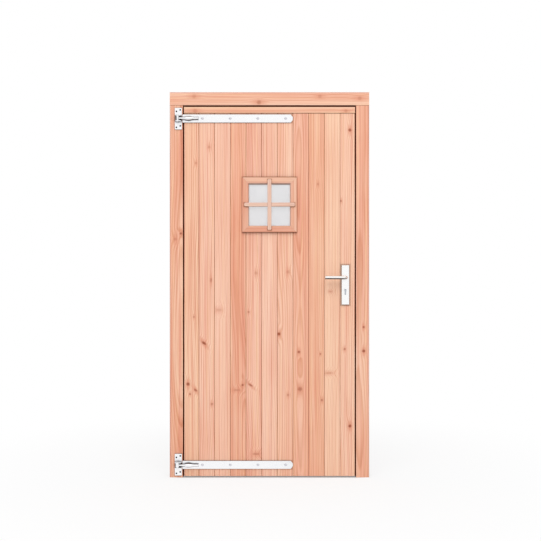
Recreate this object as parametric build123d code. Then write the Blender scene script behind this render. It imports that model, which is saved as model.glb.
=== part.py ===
from build123d import *
import math
import os

# Frame: jambs and head, planed fir. The origin is on the hinge jamb's wall side, at floor level, mid depth.
# +X runs to the lock side, the outside faces -Y, +Z is up. Millimetres.
FRAME_WIDTH = 1100.0
FRAME_HEIGHT = 2125.0
FRAME_DEPTH = 90.0
JAMB_FACE = 74.0
HEAD_FACE = 74.0
FRAME_ARRIS = 2.5
STOP_PROJECTION = 20.0
STOP_THICKNESS = 30.0
STOP_CLEARANCE = 5.0
THRESHOLD_HEIGHT = 22.0

# Leaf: matched boards on a ledged and braced back frame, face a little proud of the door frame.
SIDE_GAP = 5.3
HEAD_GAP = 8.0
FLOOR_GAP = 9.0
LEAF_PROUD = 5.0
BOARD_THICKNESS = 18.0
BACKING_THICKNESS = 34.0
BOARD_COVER = 86.4
WINDOW_BOARDS = 3
SIDE_BOARDS = 4
END_BOARD_TRIM = 4.5
BOARD_GAP = 0.6
BOARD_ARRIS = 2.0
TONGUE_LENGTH = 7.0
TONGUE_THICKNESS = 6.0
TONGUE_CLEARANCE = 0.3
GROOVE_SPARE = 0.5
STRIP_HEIGHT = 35.0
STRIP_PROUD = 4.0
STRIP_GAP = 0.8
STRIP_ARRIS = 2.0
STILE_WIDTH = 95.0
RAIL_WIDTH = 95.0
LOCK_RAIL_HEIGHT = 1050.0
LOCK_STILE_SETBACK = 3.0
BRACE_WIDTH = 95.0
BACKING_ARRIS = 2.0

# Window: a mitred casing on each side of the boards, one pane, and a lapped cross on the outside.
WINDOW_HEIGHT_CENTRE = 1503.0
CASING_WIDTH = 300.0
CASING_HEIGHT = 304.0
CASING_FACE = 36.0
CASING_THICKNESS = 14.0
CASING_ROUND = 3.0
CASING_BEVEL = 5.0
CASING_LAP = 6.0
BACK_CASING_THICKNESS = 12.0
BACK_LIP_CLEARANCE = 0.5
MITRE_GAP = 0.3
PANE_THICKNESS = 4.0
PANE_CLEARANCE = 1.5
PANE_SEAT = 0.3
BAR_WIDTH = 22.0
BAR_THICKNESS = 9.0
BAR_LENGTH = 280.0
BAR_ROUND = 3.5
BAR_END_ROUND = 9.0
BAR_HALVING_CLEARANCE = 0.2

# Strap hinges: jamb plate with two ears and a pin, eye bolt, strap with a pressed housing.
LOWER_HINGE_HEIGHT = 71.0
UPPER_STRAP_DROP = 7.5
PIN_X = 44.0
PIN_RADIUS = 6.0
PIN_CLEARANCE = 0.1
PIN_HEAD_RADIUS = 8.0
PIN_HEAD_HEIGHT = 3.0
EYE_RADIUS = 10.0
EYE_HEIGHT = 25.0
EYE_END_CLEARANCE = 0.3
ROD_RADIUS = 6.0
ROD_OFFSET = 13.0
ROD_END = 124.0
EAR_THICKNESS = 4.5
EAR_FRONT = 11.0
EAR_INSET = 1.0
EAR_CORNER = 8.0
PLATE_LEFT = 28.0
PLATE_WIDTH = 39.0
PLATE_HEIGHT = 119.0
PLATE_THICKNESS = 4.0
PLATE_CORNER = 3.0
PLATE_HOLE_RADIUS = 3.5
PLATE_HOLE_SINK_RADIUS = 4.6
PLATE_HOLE_SPREAD = 21.0
PLATE_HOLE_NEAR = 40.0
PLATE_HOLE_FAR = 48.0
STRAP_START = 70.5
STRAP_TIP = 679.0
STRAP_WIDTH = 45.0
STRAP_THICKNESS = 5.0
STRAP_POINT = 12.0
STRAP_NOSE = 14.0
STRAP_CHAMFER = 0.8
STRAP_HOLE_RADIUS = 4.5
STRAP_FIRST_HOLE = 181.0
STRAP_HOLE_PITCH = 152.7
STRAP_HOLES = 4
HOUSING_WALL = 2.6
HOUSING_MOUTH = 84.0
HOUSING_SWELL = 104.0
HOUSING_NECK = 131.0
HOUSING_TAIL = 161.0
HOUSING_MOUTH_CLEARANCE = 0.3
HOUSING_SWELL_RADIUS = 12.0
HOUSING_TAIL_RADIUS = 7.0

# Lock furniture: mortise lock, profile cylinder, long backplates, round L levers on a square spindle.
BACKSET = 50.0
SPINDLE_HEIGHT = 1103.0
CYLINDER_SPACING = 72.0
BACKPLATE_WIDTH = 42.0
BACKPLATE_HEIGHT = 217.0
BACKPLATE_ABOVE_SPINDLE = 67.0
BACKPLATE_THICKNESS = 8.0
BACKPLATE_CORNER = 3.0
BACKPLATE_ROUND = 2.0
LEVER_DIAMETER = 20.0
LEVER_BEARING_CLEARANCE = 0.3
LEVER_PROJECTION = 52.0
LEVER_REACH = 114.5
LEVER_ELBOW = 15.0
LEVER_INSET = 1.0
LEVER_TIP_CHAMFER = 1.5
SPINDLE_SIDE = 8.0
SPINDLE_CLEARANCE = 0.15
SPINDLE_ENGAGEMENT = 30.0
SPINDLE_BORE_RADIUS = 11.0
FOLLOWER_RADIUS = 9.0
FOLLOWER_CLEARANCE = 0.3
CYLINDER_RADIUS = 8.5
CYLINDER_WEB = 10.0
CYLINDER_HEIGHT = 33.0
CYLINDER_STAND_OUT = 2.5
CYLINDER_CLEARANCE = 0.3
CYLINDER_BORE_CLEARANCE = 1.5
KEYWAY_WIDTH = 2.2
KEYWAY_HEIGHT = 9.0
KEYWAY_DEPTH = 25.0
CASE_DEPTH = 74.0
CASE_THICKNESS = 16.0
CASE_ABOVE_SPINDLE = 60.0
CASE_BELOW_SPINDLE = 105.0
CASE_CLEARANCE = 0.5
FOREND_WIDTH = 20.0
FOREND_HEIGHT = 235.0
FOREND_THICKNESS = 3.0
FOREND_CLEARANCE = 0.3
LATCH_RISE = 16.0
LATCH_HEIGHT = 22.0
DEADBOLT_DROP = 58.0
DEADBOLT_HEIGHT = 34.0
LOCK_BOLT_THICKNESS = 11.0
LOCK_BOLT_LENGTH = 20.0
LOCK_BOLT_CLEARANCE = 0.3
STRIKE_WIDTH = 24.0
STRIKE_HEIGHT = 190.0
STRIKE_THICKNESS = 3.0
STRIKE_CLEARANCE = 0.3
STRIKE_SPARE = 2.0
STRIKE_POCKET = 20.0

# Planes and limits that the pieces share.
FRAME_FRONT = -FRAME_DEPTH / 2
FRAME_BACK = FRAME_DEPTH / 2
OPENING_LEFT = JAMB_FACE
OPENING_RIGHT = FRAME_WIDTH - JAMB_FACE
OPENING_TOP = FRAME_HEIGHT - HEAD_FACE
LEAF_LEFT = OPENING_LEFT + SIDE_GAP
LEAF_RIGHT = OPENING_RIGHT - SIDE_GAP
LEAF_BOTTOM = FLOOR_GAP
LEAF_TOP = OPENING_TOP - HEAD_GAP
LEAF_FRONT = FRAME_FRONT - LEAF_PROUD
BOARD_BACK = LEAF_FRONT + BOARD_THICKNESS
LEAF_BACK = BOARD_BACK + BACKING_THICKNESS
STRIP_BOTTOM = LEAF_TOP - STRIP_HEIGHT
BOARD_TOP = STRIP_BOTTOM - STRIP_GAP
STOP_FRONT = LEAF_BACK + STOP_CLEARANCE
STOP_SPAN = (STOP_FRONT, STOP_FRONT + STOP_THICKNESS)
BACKING_SPAN = (BOARD_BACK, LEAF_BACK)
HINGE_STILE_EDGE = LEAF_LEFT + STILE_WIDTH
FOREND_FACE = LEAF_RIGHT - LOCK_STILE_SETBACK
LOCK_STILE_EDGE = FOREND_FACE - STILE_WIDTH
WINDOW_X = (LEAF_LEFT + LEAF_RIGHT) / 2
SIGHT_WIDTH = CASING_WIDTH - 2 * CASING_FACE
SIGHT_HEIGHT = CASING_HEIGHT - 2 * CASING_FACE
CUT_WIDTH = SIGHT_WIDTH + 2 * CASING_LAP
CUT_HEIGHT = SIGHT_HEIGHT + 2 * CASING_LAP
PANE_BACK = LEAF_FRONT + PANE_THICKNESS
CASING_FRONT = LEAF_FRONT - CASING_THICKNESS
UPPER_HINGE_HEIGHT = STRIP_BOTTOM - UPPER_STRAP_DROP - STRAP_WIDTH / 2
PIN_Y = LEAF_FRONT - ROD_OFFSET
EAR_INNER = EYE_HEIGHT / 2 + EYE_END_CLEARANCE
EAR_OUTER = EAR_INNER + EAR_THICKNESS
PLATE_CENTRE = PLATE_LEFT + PLATE_WIDTH / 2
PLATE_FRONT = FRAME_FRONT - PLATE_THICKNESS
SPINDLE_X = FOREND_FACE - BACKSET
CYLINDER_Z = SPINDLE_HEIGHT - CYLINDER_SPACING
LOCK_Y = (BOARD_BACK + LEAF_BACK) / 2
FOREND_CENTRE = (SPINDLE_HEIGHT + CYLINDER_Z) / 2


def block(x_span, y_span, z_span):
    """A squared piece between three pairs of limits."""
    spans = (x_span, y_span, z_span)
    sizes = [high - low for low, high in spans]
    middles = [(high + low) / 2 for low, high in spans]
    return Pos(*middles) * Box(*sizes)


def around(middle, size):
    """The pair of limits of a size set evenly about a middle."""
    return (middle - size / 2, middle + size / 2)


def eased(timber, along, end, radius):
    """The timber with its arrises along one axis rounded, on its front (end 0) or back (end -1)."""
    arrises = timber.edges().filter_by(along).group_by(Axis.Y)[end]
    return fillet(arrises, radius)


def bar_through(x, z, radius):
    """A round cutter through the whole leaf, along Y."""
    length = 4 * FRAME_DEPTH
    return Pos(x, LOCK_Y, z) * Rot(90, 0, 0) * Cylinder(radius, length)


def square_through(x, z, side, y_span):
    """A square bar along Y."""
    return block(around(x, side), y_span, around(z, side))


# Door frame
def head():
    """The head lies across the tops of both jambs."""
    timber = block((0, FRAME_WIDTH), (FRAME_FRONT, FRAME_BACK), (OPENING_TOP, FRAME_HEIGHT))
    return eased(timber, Axis.X, 0, FRAME_ARRIS)


def jamb(left):
    """One upright of the frame, from the floor to the underside of the head."""
    timber = block((left, left + JAMB_FACE), (FRAME_FRONT, FRAME_BACK), (0, OPENING_TOP))
    return eased(timber, Axis.Z, 0, FRAME_ARRIS)


def lock_jamb():
    """The jamb with the strike plate let in flush and a pocket behind each of its holes."""
    let_in = strike_blank(STRIKE_CLEARANCE)
    pocket_x = (OPENING_RIGHT, OPENING_RIGHT + STRIKE_THICKNESS + STRIKE_POCKET)
    timber = jamb(OPENING_RIGHT) - let_in
    for middle, height in lock_bolt_places():
        timber -= block(pocket_x, around(LOCK_Y, LOCK_BOLT_THICKNESS + 2 * STRIKE_SPARE),
                        around(middle, height + 2 * STRIKE_SPARE))
    return timber


def strike_blank(clearance):
    """The outline of the strike plate, grown at its edges by a clearance."""
    return block((OPENING_RIGHT, OPENING_RIGHT + STRIKE_THICKNESS),
                 around(LOCK_Y, STRIKE_WIDTH + 2 * clearance),
                 around(FOREND_CENTRE, STRIKE_HEIGHT + 2 * clearance))


def strike_plate():
    """The plate in the lock jamb, with a hole each for latch and deadbolt."""
    plate = strike_blank(0)
    for middle, height in lock_bolt_places():
        plate -= block((OPENING_RIGHT, OPENING_RIGHT + STRIKE_THICKNESS),
                       around(LOCK_Y, LOCK_BOLT_THICKNESS + 2 * STRIKE_SPARE),
                       around(middle, height + 2 * STRIKE_SPARE))
    return plate


def side_stop(left):
    """The planted stop on one jamb, up to the head stop."""
    return block((left, left + STOP_PROJECTION), STOP_SPAN, (0, OPENING_TOP - STOP_PROJECTION))


def head_stop():
    """The planted stop under the head."""
    return block((OPENING_LEFT, OPENING_RIGHT), STOP_SPAN, (OPENING_TOP - STOP_PROJECTION, OPENING_TOP))


def threshold():
    """The low strip on the floor between the side stops."""
    span = (OPENING_LEFT + STOP_PROJECTION, OPENING_RIGHT - STOP_PROJECTION)
    return block(span, STOP_SPAN, (0, THRESHOLD_HEIGHT))


# Boards of the leaf
def board_edges():
    """The joint lines: stock boards at the window, equal boards beside them, the end ones trimmed."""
    beside = LEAF_RIGHT - LEAF_LEFT - WINDOW_BOARDS * BOARD_COVER + 2 * END_BOARD_TRIM
    side_cover = beside / (2 * SIDE_BOARDS)
    covers = [side_cover] * SIDE_BOARDS + [BOARD_COVER] * WINDOW_BOARDS + [side_cover] * SIDE_BOARDS
    covers[0] -= END_BOARD_TRIM
    covers[-1] -= END_BOARD_TRIM
    edges = [LEAF_LEFT]
    for cover in covers:
        edges.append(edges[-1] + cover)
    return edges


def board(left, right, grooved, tongued):
    """One matched board: V arrises on its face, a groove on its left edge, a tongue on its right."""
    tongue_front = LEAF_FRONT + (BOARD_THICKNESS - TONGUE_THICKNESS) / 2
    tongue_back = tongue_front + TONGUE_THICKNESS
    groove_depth = TONGUE_LENGTH + GROOVE_SPARE
    west = left + BOARD_GAP / 2 if grooved else left
    east = right - BOARD_GAP / 2 if tongued else right
    outline = [(west, LEAF_FRONT + BOARD_ARRIS), (west + BOARD_ARRIS, LEAF_FRONT),
               (east - BOARD_ARRIS, LEAF_FRONT), (east, LEAF_FRONT + BOARD_ARRIS)]
    if tongued:
        outline += [(east, tongue_front), (east + TONGUE_LENGTH, tongue_front),
                    (east + TONGUE_LENGTH, tongue_back), (east, tongue_back)]
    outline += [(east, BOARD_BACK), (west, BOARD_BACK)]
    if grooved:
        groove_back = tongue_back + TONGUE_CLEARANCE
        groove_front = tongue_front - TONGUE_CLEARANCE
        outline += [(west, groove_back), (west + groove_depth, groove_back),
                    (west + groove_depth, groove_front), (west, groove_front)]
    section = make_face(Polyline(*outline, close=True))
    return Pos(0, 0, LEAF_BOTTOM) * extrude(section, BOARD_TOP - LEAF_BOTTOM, dir=(0, 0, 1))


def window_cut():
    """The square hole sawn through the boards for the window."""
    return block(around(WINDOW_X, CUT_WIDTH), (LEAF_FRONT, BOARD_BACK),
                 around(WINDOW_HEIGHT_CENTRE, CUT_HEIGHT))


def boards():
    """All boards by name, with the window and the lock furniture's holes cut."""
    edges = board_edges()
    last = len(edges) - 2
    cuts = window_cut() + lock_holes()
    named = {}
    for index in range(last + 1):
        whole = board(edges[index], edges[index + 1], index > 0, index < last)
        named[f"board_{index + 1:02d}"] = whole - cuts
    return named


def top_strip():
    """The strip that covers the boards' top ends, proud of their face."""
    strip = block((LEAF_LEFT, LEAF_RIGHT), (LEAF_FRONT - STRIP_PROUD, BOARD_BACK), (STRIP_BOTTOM, LEAF_TOP))
    return eased(strip, Axis.X, 0, STRIP_ARRIS)


# Back frame of the leaf
def stile(left):
    """One upright of the back frame."""
    timber = block((left, left + STILE_WIDTH), BACKING_SPAN, (LEAF_BOTTOM, LEAF_TOP))
    return eased(timber, Axis.Z, -1, BACKING_ARRIS)


def lock_stile():
    """The upright that takes the lock case and its forend, spindle and cylinder."""
    forend = forend_blank(FOREND_CLEARANCE)
    return stile(LOCK_STILE_EDGE) - case_blank(CASE_CLEARANCE) - forend - lock_holes()


def rail(middle):
    """One level piece of the back frame, between the stiles."""
    timber = block((HINGE_STILE_EDGE, LOCK_STILE_EDGE), BACKING_SPAN, around(middle, RAIL_WIDTH))
    return eased(timber, Axis.X, -1, BACKING_ARRIS)


def brace():
    """The strut of the lower panel, from the hinge side's foot to the lock side, cut into both corners."""
    low = LEAF_BOTTOM + RAIL_WIDTH
    high = LOCK_RAIL_HEIGHT - RAIL_WIDTH / 2
    width = LOCK_STILE_EDGE - HINGE_STILE_EDGE
    height = high - low
    slope = math.degrees(math.atan2(height, width))
    strut = Box(2 * math.hypot(width, height), BACKING_THICKNESS, BRACE_WIDTH)
    middle = ((HINGE_STILE_EDGE + LOCK_STILE_EDGE) / 2, LOCK_Y, (low + high) / 2)
    panel = block((HINGE_STILE_EDGE, LOCK_STILE_EDGE), around(LOCK_Y, 2 * BACKING_THICKNESS), (low, high))
    return panel & (Pos(*middle) * Rot(0, -slope, 0) * strut)


# Window
def mitre_wedge(side, width, height, face):
    """The trapezium, seen from the front, that one mitred side of a casing fills."""
    across = width if side in ("top", "bottom") else height
    off_centre = (height if side in ("top", "bottom") else width) / 2
    long_half = across / 2 - MITRE_GAP
    short_half = long_half - face
    turn = {"top": 0, "left": 90, "bottom": 180, "right": 270}[side]
    corners = [(-long_half, off_centre), (long_half, off_centre),
               (short_half, off_centre - face), (-short_half, off_centre - face)]
    wedge = make_face(Polyline(*corners, close=True))
    return Rot(0, 0, turn) * wedge


def casing_side(side, section, face_y):
    """One side of a casing: its moulding, drawn from the outer edge inwards and cut to its mitres."""
    across = CASING_WIDTH if side in ("top", "bottom") else CASING_HEIGHT
    off_centre = (CASING_HEIGHT if side in ("top", "bottom") else CASING_WIDTH) / 2
    turn = {"top": 0, "left": -90, "bottom": 180, "right": 90}[side]
    run = Plane(origin=(across / 2, 0, off_centre), x_dir=(0, 0, -1), z_dir=(-1, 0, 0))
    moulding = Rot(0, turn, 0) * extrude(run * section, across)
    wedge = extrude(Plane.XZ * mitre_wedge(side, CASING_WIDTH, CASING_HEIGHT, CASING_FACE),
                    2 * FRAME_DEPTH, both=True)
    return Pos(WINDOW_X, face_y, WINDOW_HEIGHT_CENTRE) * (moulding & wedge)


def front_casing_section():
    """The outer moulding: a flat face with a rounded outer arris and a bevel towards the glass."""
    arc_start = (0, CASING_THICKNESS - CASING_ROUND)
    arc_end = (CASING_ROUND, CASING_THICKNESS)
    rest = Polyline(arc_end, (CASING_FACE - CASING_BEVEL, CASING_THICKNESS),
                    (CASING_FACE, CASING_THICKNESS - CASING_BEVEL), (CASING_FACE, 0), (0, 0), arc_start)
    return make_face(RadiusArc(arc_start, arc_end, CASING_ROUND) + rest)


def back_casing_section():
    """The inner moulding: a flat cover with a lip that holds the pane in the cut."""
    lip = BOARD_BACK - PANE_BACK - PANE_SEAT
    lip_start = CASING_FACE - CASING_LAP + BACK_LIP_CLEARANCE
    points = [(0, 0), (lip_start, 0), (lip_start, lip), (CASING_FACE, lip),
              (CASING_FACE, -BACK_CASING_THICKNESS), (0, -BACK_CASING_THICKNESS)]
    return make_face(Polyline(*points, close=True))


def casing(section, face_y):
    """The four mitred sides of one casing."""
    sides = [casing_side(side, section, face_y) for side in ("top", "left", "bottom", "right")]
    return Compound(children=[solid for side in sides for solid in side.solids()])


def pane():
    """The sheet of glass, held between the outer casing and the inner one's lip."""
    return block(around(WINDOW_X, CUT_WIDTH - 2 * PANE_CLEARANCE), (LEAF_FRONT, PANE_BACK),
                 around(WINDOW_HEIGHT_CENTRE, CUT_HEIGHT - 2 * PANE_CLEARANCE))


def window_bar(upright):
    """One bar of the cross, lapped over the casing, with round ends, and halved where the bars meet."""
    width, height = (BAR_WIDTH, BAR_LENGTH) if upright else (BAR_LENGTH, BAR_WIDTH)
    face = Plane(origin=(0, CASING_FRONT, 0), x_dir=(1, 0, 0), z_dir=(0, -1, 0))
    bar = extrude(face * RectangleRounded(width, height, BAR_END_ROUND), BAR_THICKNESS)
    bar = fillet(bar.edges().group_by(Axis.Y)[0], BAR_ROUND)
    middle = CASING_FRONT - BAR_THICKNESS / 2
    halving = around(0, BAR_WIDTH + 2 * BAR_HALVING_CLEARANCE)
    if upright:
        notch = block(halving, (middle - BAR_HALVING_CLEARANCE / 2, CASING_FRONT), halving)
    else:
        notch = block(halving, (CASING_FRONT - BAR_THICKNESS, middle + BAR_HALVING_CLEARANCE / 2), halving)
    return Pos(WINDOW_X, 0, WINDOW_HEIGHT_CENTRE) * (bar - notch)


# Hinges, drawn about their own middle height
def jamb_plate(height):
    """The plate on the jamb, with staggered countersunk holes and two ears, as wide, that hold the pin."""
    outline = RectangleRounded(PLATE_WIDTH, PLATE_HEIGHT, PLATE_CORNER)
    face = Plane(origin=(PLATE_CENTRE, FRAME_FRONT, 0), x_dir=(1, 0, 0), z_dir=(0, -1, 0))
    plate = extrude(face * outline, PLATE_THICKNESS)
    reach = PLATE_FRONT - PIN_Y + EAR_FRONT
    tab = Pos(PLATE_CENTRE, PLATE_FRONT - reach / 2) * Rectangle(PLATE_WIDTH - 2 * EAR_INSET, reach)
    tab = fillet(tab.vertices().group_by(Axis.Y)[0], EAR_CORNER)
    tab -= Pos(PIN_X, PIN_Y) * Circle(PIN_RADIUS + PIN_CLEARANCE)
    ear = extrude(tab, EAR_THICKNESS, dir=(0, 0, 1))
    plate += Pos(0, 0, EAR_INNER) * ear
    plate += Pos(0, 0, -EAR_OUTER) * ear
    half_spread = PLATE_HOLE_SPREAD / 2
    places = [(-half_spread, PLATE_HOLE_NEAR), (half_spread, PLATE_HOLE_FAR),
              (-half_spread, -PLATE_HOLE_FAR), (half_spread, -PLATE_HOLE_NEAR)]
    for across, rise in places:
        plate -= countersunk_hole(PLATE_CENTRE + across, rise)
    return Pos(0, 0, height) * plate


def countersunk_hole(x, z):
    """A cutter for one screw hole, wider at the plate's face."""
    hole = Cone(PLATE_HOLE_RADIUS, PLATE_HOLE_SINK_RADIUS, PLATE_THICKNESS)
    return Pos(x, FRAME_FRONT - PLATE_THICKNESS / 2, z) * Rot(90, 0, 0) * hole


def hinge_pin(height):
    """The headed pin through both ears, with its end spread under the lower ear."""
    shank = Cylinder(PIN_RADIUS, 2 * EAR_OUTER)
    cap = Pos(0, 0, EAR_OUTER + PIN_HEAD_HEIGHT / 2) * Cylinder(PIN_HEAD_RADIUS, PIN_HEAD_HEIGHT)
    foot = Pos(0, 0, -EAR_OUTER - PIN_HEAD_HEIGHT / 2) * Cylinder(PIN_HEAD_RADIUS, PIN_HEAD_HEIGHT)
    pin = shank + cap + foot
    rims = pin.edges().filter_by(GeomType.CIRCLE).group_by(Axis.Z)
    pin = chamfer(rims[0] + rims[-1], PIN_HEAD_HEIGHT / 3)
    return Pos(PIN_X, PIN_Y, height) * pin


def eye_bolt(height):
    """The forged eye on the pin and its round rod, which runs into the strap's housing."""
    eye = Cylinder(EYE_RADIUS, EYE_HEIGHT)
    length = ROD_END - PIN_X
    rod = Pos(length / 2, 0, 0) * Rot(0, 90, 0) * Cylinder(ROD_RADIUS, length)
    bore = Cylinder(PIN_RADIUS + PIN_CLEARANCE, EYE_HEIGHT)
    return Pos(PIN_X, PIN_Y, height) * (eye + rod - bore)


def housing_outline(inset):
    """Half the pressed housing's outline along the rod: a swelling that runs out into a round tail."""
    mouth = ROD_RADIUS + HOUSING_MOUTH_CLEARANCE + HOUSING_WALL - inset
    swell = HOUSING_SWELL_RADIUS - inset
    tail = HOUSING_TAIL_RADIUS - inset
    tail_end = HOUSING_TAIL - inset
    belly = ThreePointArc((HOUSING_MOUTH, mouth), (HOUSING_SWELL, swell), (HOUSING_NECK, tail))
    run = Line((HOUSING_NECK, tail), (tail_end - tail, tail))
    middle = tail * math.sqrt(0.5)
    end = ThreePointArc((tail_end - tail, tail), (tail_end - tail + middle, middle), (tail_end, 0))
    closing = Polyline((tail_end, 0), (HOUSING_MOUTH, 0), (HOUSING_MOUTH, mouth))
    return make_face(belly + run + end + closing)


def housing_form(inset):
    """The housing's form: round over the rod, with straight cheeks down to the board."""
    half = housing_outline(inset)
    crown = revolve(Pos(0, PIN_Y, 0) * half, Axis((0, PIN_Y, 0), (1, 0, 0)))
    plan = Plane(origin=(0, PIN_Y, 0), x_dir=(1, 0, 0), z_dir=(0, 1, 0))
    cheeks = extrude(plan * (half + mirror(half, Plane.XZ)), ROD_OFFSET)
    return crown + cheeks


def strap(height):
    """The long strap with a blunt point, its row of bolt holes, and the housing pressed out of it."""
    half = STRAP_WIDTH / 2
    shoulder = STRAP_TIP - STRAP_POINT
    outline = [(STRAP_START, -half), (shoulder, -half), (STRAP_TIP, -STRAP_NOSE / 2),
               (STRAP_TIP, STRAP_NOSE / 2), (shoulder, half), (STRAP_START, half)]
    face = Plane(origin=(0, LEAF_FRONT, 0), x_dir=(1, 0, 0), z_dir=(0, -1, 0))
    flat = extrude(face * make_face(Polyline(*outline, close=True)), STRAP_THICKNESS)
    flat = chamfer(flat.edges().group_by(Axis.Y)[0], STRAP_CHAMFER)
    piece = flat + housing_form(0) - housing_form(HOUSING_WALL)
    for step in range(STRAP_HOLES):
        piece -= bar_through(STRAP_FIRST_HOLE + step * STRAP_HOLE_PITCH, 0, STRAP_HOLE_RADIUS)
    board_side = block((STRAP_START, STRAP_TIP), (LEAF_FRONT, LEAF_BACK), around(0, STRAP_WIDTH))
    return Pos(0, 0, height) * (piece - board_side)


# Lock
def cylinder_outline(clearance):
    """The profile cylinder's outline: a round body over a narrow web with a round foot."""
    web = CYLINDER_WEB / 2 + clearance
    drop = CYLINDER_HEIGHT - CYLINDER_RADIUS - CYLINDER_WEB / 2
    outline = Circle(CYLINDER_RADIUS + clearance)
    outline += Pos(0, -drop / 2) * Rectangle(2 * web, drop)
    outline += Pos(0, -drop) * Circle(web)
    return outline


def cylinder_form(clearance, y_span):
    """The profile cylinder's outline drawn out along Y."""
    plane = Plane(origin=(SPINDLE_X, y_span[0], CYLINDER_Z), x_dir=(-1, 0, 0), z_dir=(0, 1, 0))
    return extrude(plane * cylinder_outline(clearance), y_span[1] - y_span[0])


def lock_holes():
    """The holes through boards and stile for the spindle and the cylinder."""
    through = (LEAF_FRONT - FRAME_DEPTH, LEAF_BACK + FRAME_DEPTH)
    spindle_bore = bar_through(SPINDLE_X, SPINDLE_HEIGHT, SPINDLE_BORE_RADIUS)
    return spindle_bore + cylinder_form(CYLINDER_BORE_CLEARANCE, through)


def lock_bolt_places():
    """The middle height and the height of the latch and of the deadbolt."""
    return [(SPINDLE_HEIGHT + LATCH_RISE, LATCH_HEIGHT), (SPINDLE_HEIGHT - DEADBOLT_DROP, DEADBOLT_HEIGHT)]


def case_blank(clearance):
    """The lock case's block, grown by a clearance."""
    low = SPINDLE_HEIGHT - CASE_BELOW_SPINDLE - clearance
    high = SPINDLE_HEIGHT + CASE_ABOVE_SPINDLE + clearance
    return block((FOREND_FACE - CASE_DEPTH - clearance, FOREND_FACE - FOREND_THICKNESS),
                 around(LOCK_Y, CASE_THICKNESS + 2 * clearance), (low, high))


def forend_blank(clearance):
    """The forend's plate, grown at its edges by a clearance."""
    return block((FOREND_FACE - FOREND_THICKNESS, FOREND_FACE), around(LOCK_Y, FOREND_WIDTH + 2 * clearance),
                 around(FOREND_CENTRE, FOREND_HEIGHT + 2 * clearance))


def lock_case():
    """The mortise lock: case and forend, with holes for the follower and cylinder and the bolts' ways."""
    case = case_blank(0) + forend_blank(0)
    case -= bar_through(SPINDLE_X, SPINDLE_HEIGHT, FOLLOWER_RADIUS + FOLLOWER_CLEARANCE)
    case -= cylinder_form(CYLINDER_CLEARANCE, around(LOCK_Y, 2 * CASE_THICKNESS))
    for middle, height in lock_bolt_places():
        case -= lock_bolt(middle, height, LOCK_BOLT_CLEARANCE)
    return case


def lock_follower():
    """The round hub in the lock case that turns with the spindle."""
    hub = Pos(SPINDLE_X, LOCK_Y, SPINDLE_HEIGHT) * Rot(90, 0, 0) * Cylinder(FOLLOWER_RADIUS, CASE_THICKNESS)
    return hub - square_through(SPINDLE_X, SPINDLE_HEIGHT, SPINDLE_SIDE + 2 * SPINDLE_CLEARANCE,
                                around(LOCK_Y, 2 * CASE_THICKNESS))


def lock_bolt(middle, height, clearance):
    """One bolt drawn back flush with the forend, grown by a clearance."""
    return block((FOREND_FACE - LOCK_BOLT_LENGTH - clearance, FOREND_FACE),
                 around(LOCK_Y, LOCK_BOLT_THICKNESS + 2 * clearance), around(middle, height + 2 * clearance))


def lock_bolts():
    """The latch and the deadbolt."""
    return Compound(children=[lock_bolt(middle, height, 0).solid() for middle, height in lock_bolt_places()])


def lock_cylinder():
    """The double profile cylinder, with a keyway from each side."""
    outer = LEAF_FRONT - BACKPLATE_THICKNESS - CYLINDER_STAND_OUT
    inner = LEAF_BACK + BACKPLATE_THICKNESS + CYLINDER_STAND_OUT
    cylinder = cylinder_form(0, (outer, inner))
    for span in ((outer, outer + KEYWAY_DEPTH), (inner - KEYWAY_DEPTH, inner)):
        cylinder -= block(around(SPINDLE_X, KEYWAY_WIDTH), span, around(CYLINDER_Z, KEYWAY_HEIGHT))
    return cylinder


# Handle, one side facing out (-1) and one in (+1)
def leaf_face(side):
    """The leaf's face on one side."""
    return LEAF_FRONT if side < 0 else LEAF_BACK


def backplate(side):
    """The long plate with rounded corners and arrises, the lever's bearing and the cylinder hole."""
    middle = SPINDLE_HEIGHT + BACKPLATE_ABOVE_SPINDLE - BACKPLATE_HEIGHT / 2
    face = Plane(origin=(SPINDLE_X, leaf_face(side), middle), x_dir=(1, 0, 0), z_dir=(0, side, 0))
    plate = extrude(face * RectangleRounded(BACKPLATE_WIDTH, BACKPLATE_HEIGHT, BACKPLATE_CORNER),
                    BACKPLATE_THICKNESS)
    front = plate.faces().sort_by(Axis.Y)[0 if side < 0 else -1]
    plate = fillet(front.edges(), BACKPLATE_ROUND)
    plate -= bar_through(SPINDLE_X, SPINDLE_HEIGHT, LEVER_DIAMETER / 2 + LEVER_BEARING_CLEARANCE)
    through = (LEAF_FRONT - FRAME_DEPTH, LEAF_BACK + FRAME_DEPTH)
    return plate - cylinder_form(CYLINDER_CLEARANCE, through)


def lever(side):
    """The round lever: a neck out of the backplate, an elbow, and a straight grip with an eased tip."""
    root = leaf_face(side) + side * LEVER_INSET
    grip = leaf_face(side) + side * LEVER_PROJECTION
    path = FilletPolyline((SPINDLE_X, root, SPINDLE_HEIGHT), (SPINDLE_X, grip, SPINDLE_HEIGHT),
                          (SPINDLE_X - LEVER_REACH, grip, SPINDLE_HEIGHT), radius=LEVER_ELBOW)
    section = Plane(origin=path @ 0, z_dir=path % 0) * Circle(LEVER_DIAMETER / 2)
    piece = sweep(section, path)
    tip = piece.faces().sort_by(Axis.X)[0]
    piece = chamfer(tip.edges(), LEVER_TIP_CHAMFER)
    depth = sorted((root, root + side * SPINDLE_ENGAGEMENT))
    return piece - square_through(SPINDLE_X, SPINDLE_HEIGHT, SPINDLE_SIDE + 2 * SPINDLE_CLEARANCE, depth)


def spindle():
    """The square bar that joins the two levers through the lock."""
    reach = LEVER_INSET + SPINDLE_ENGAGEMENT - SPINDLE_CLEARANCE
    return square_through(SPINDLE_X, SPINDLE_HEIGHT, SPINDLE_SIDE, (LEAF_FRONT - reach, LEAF_BACK + reach))


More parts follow.
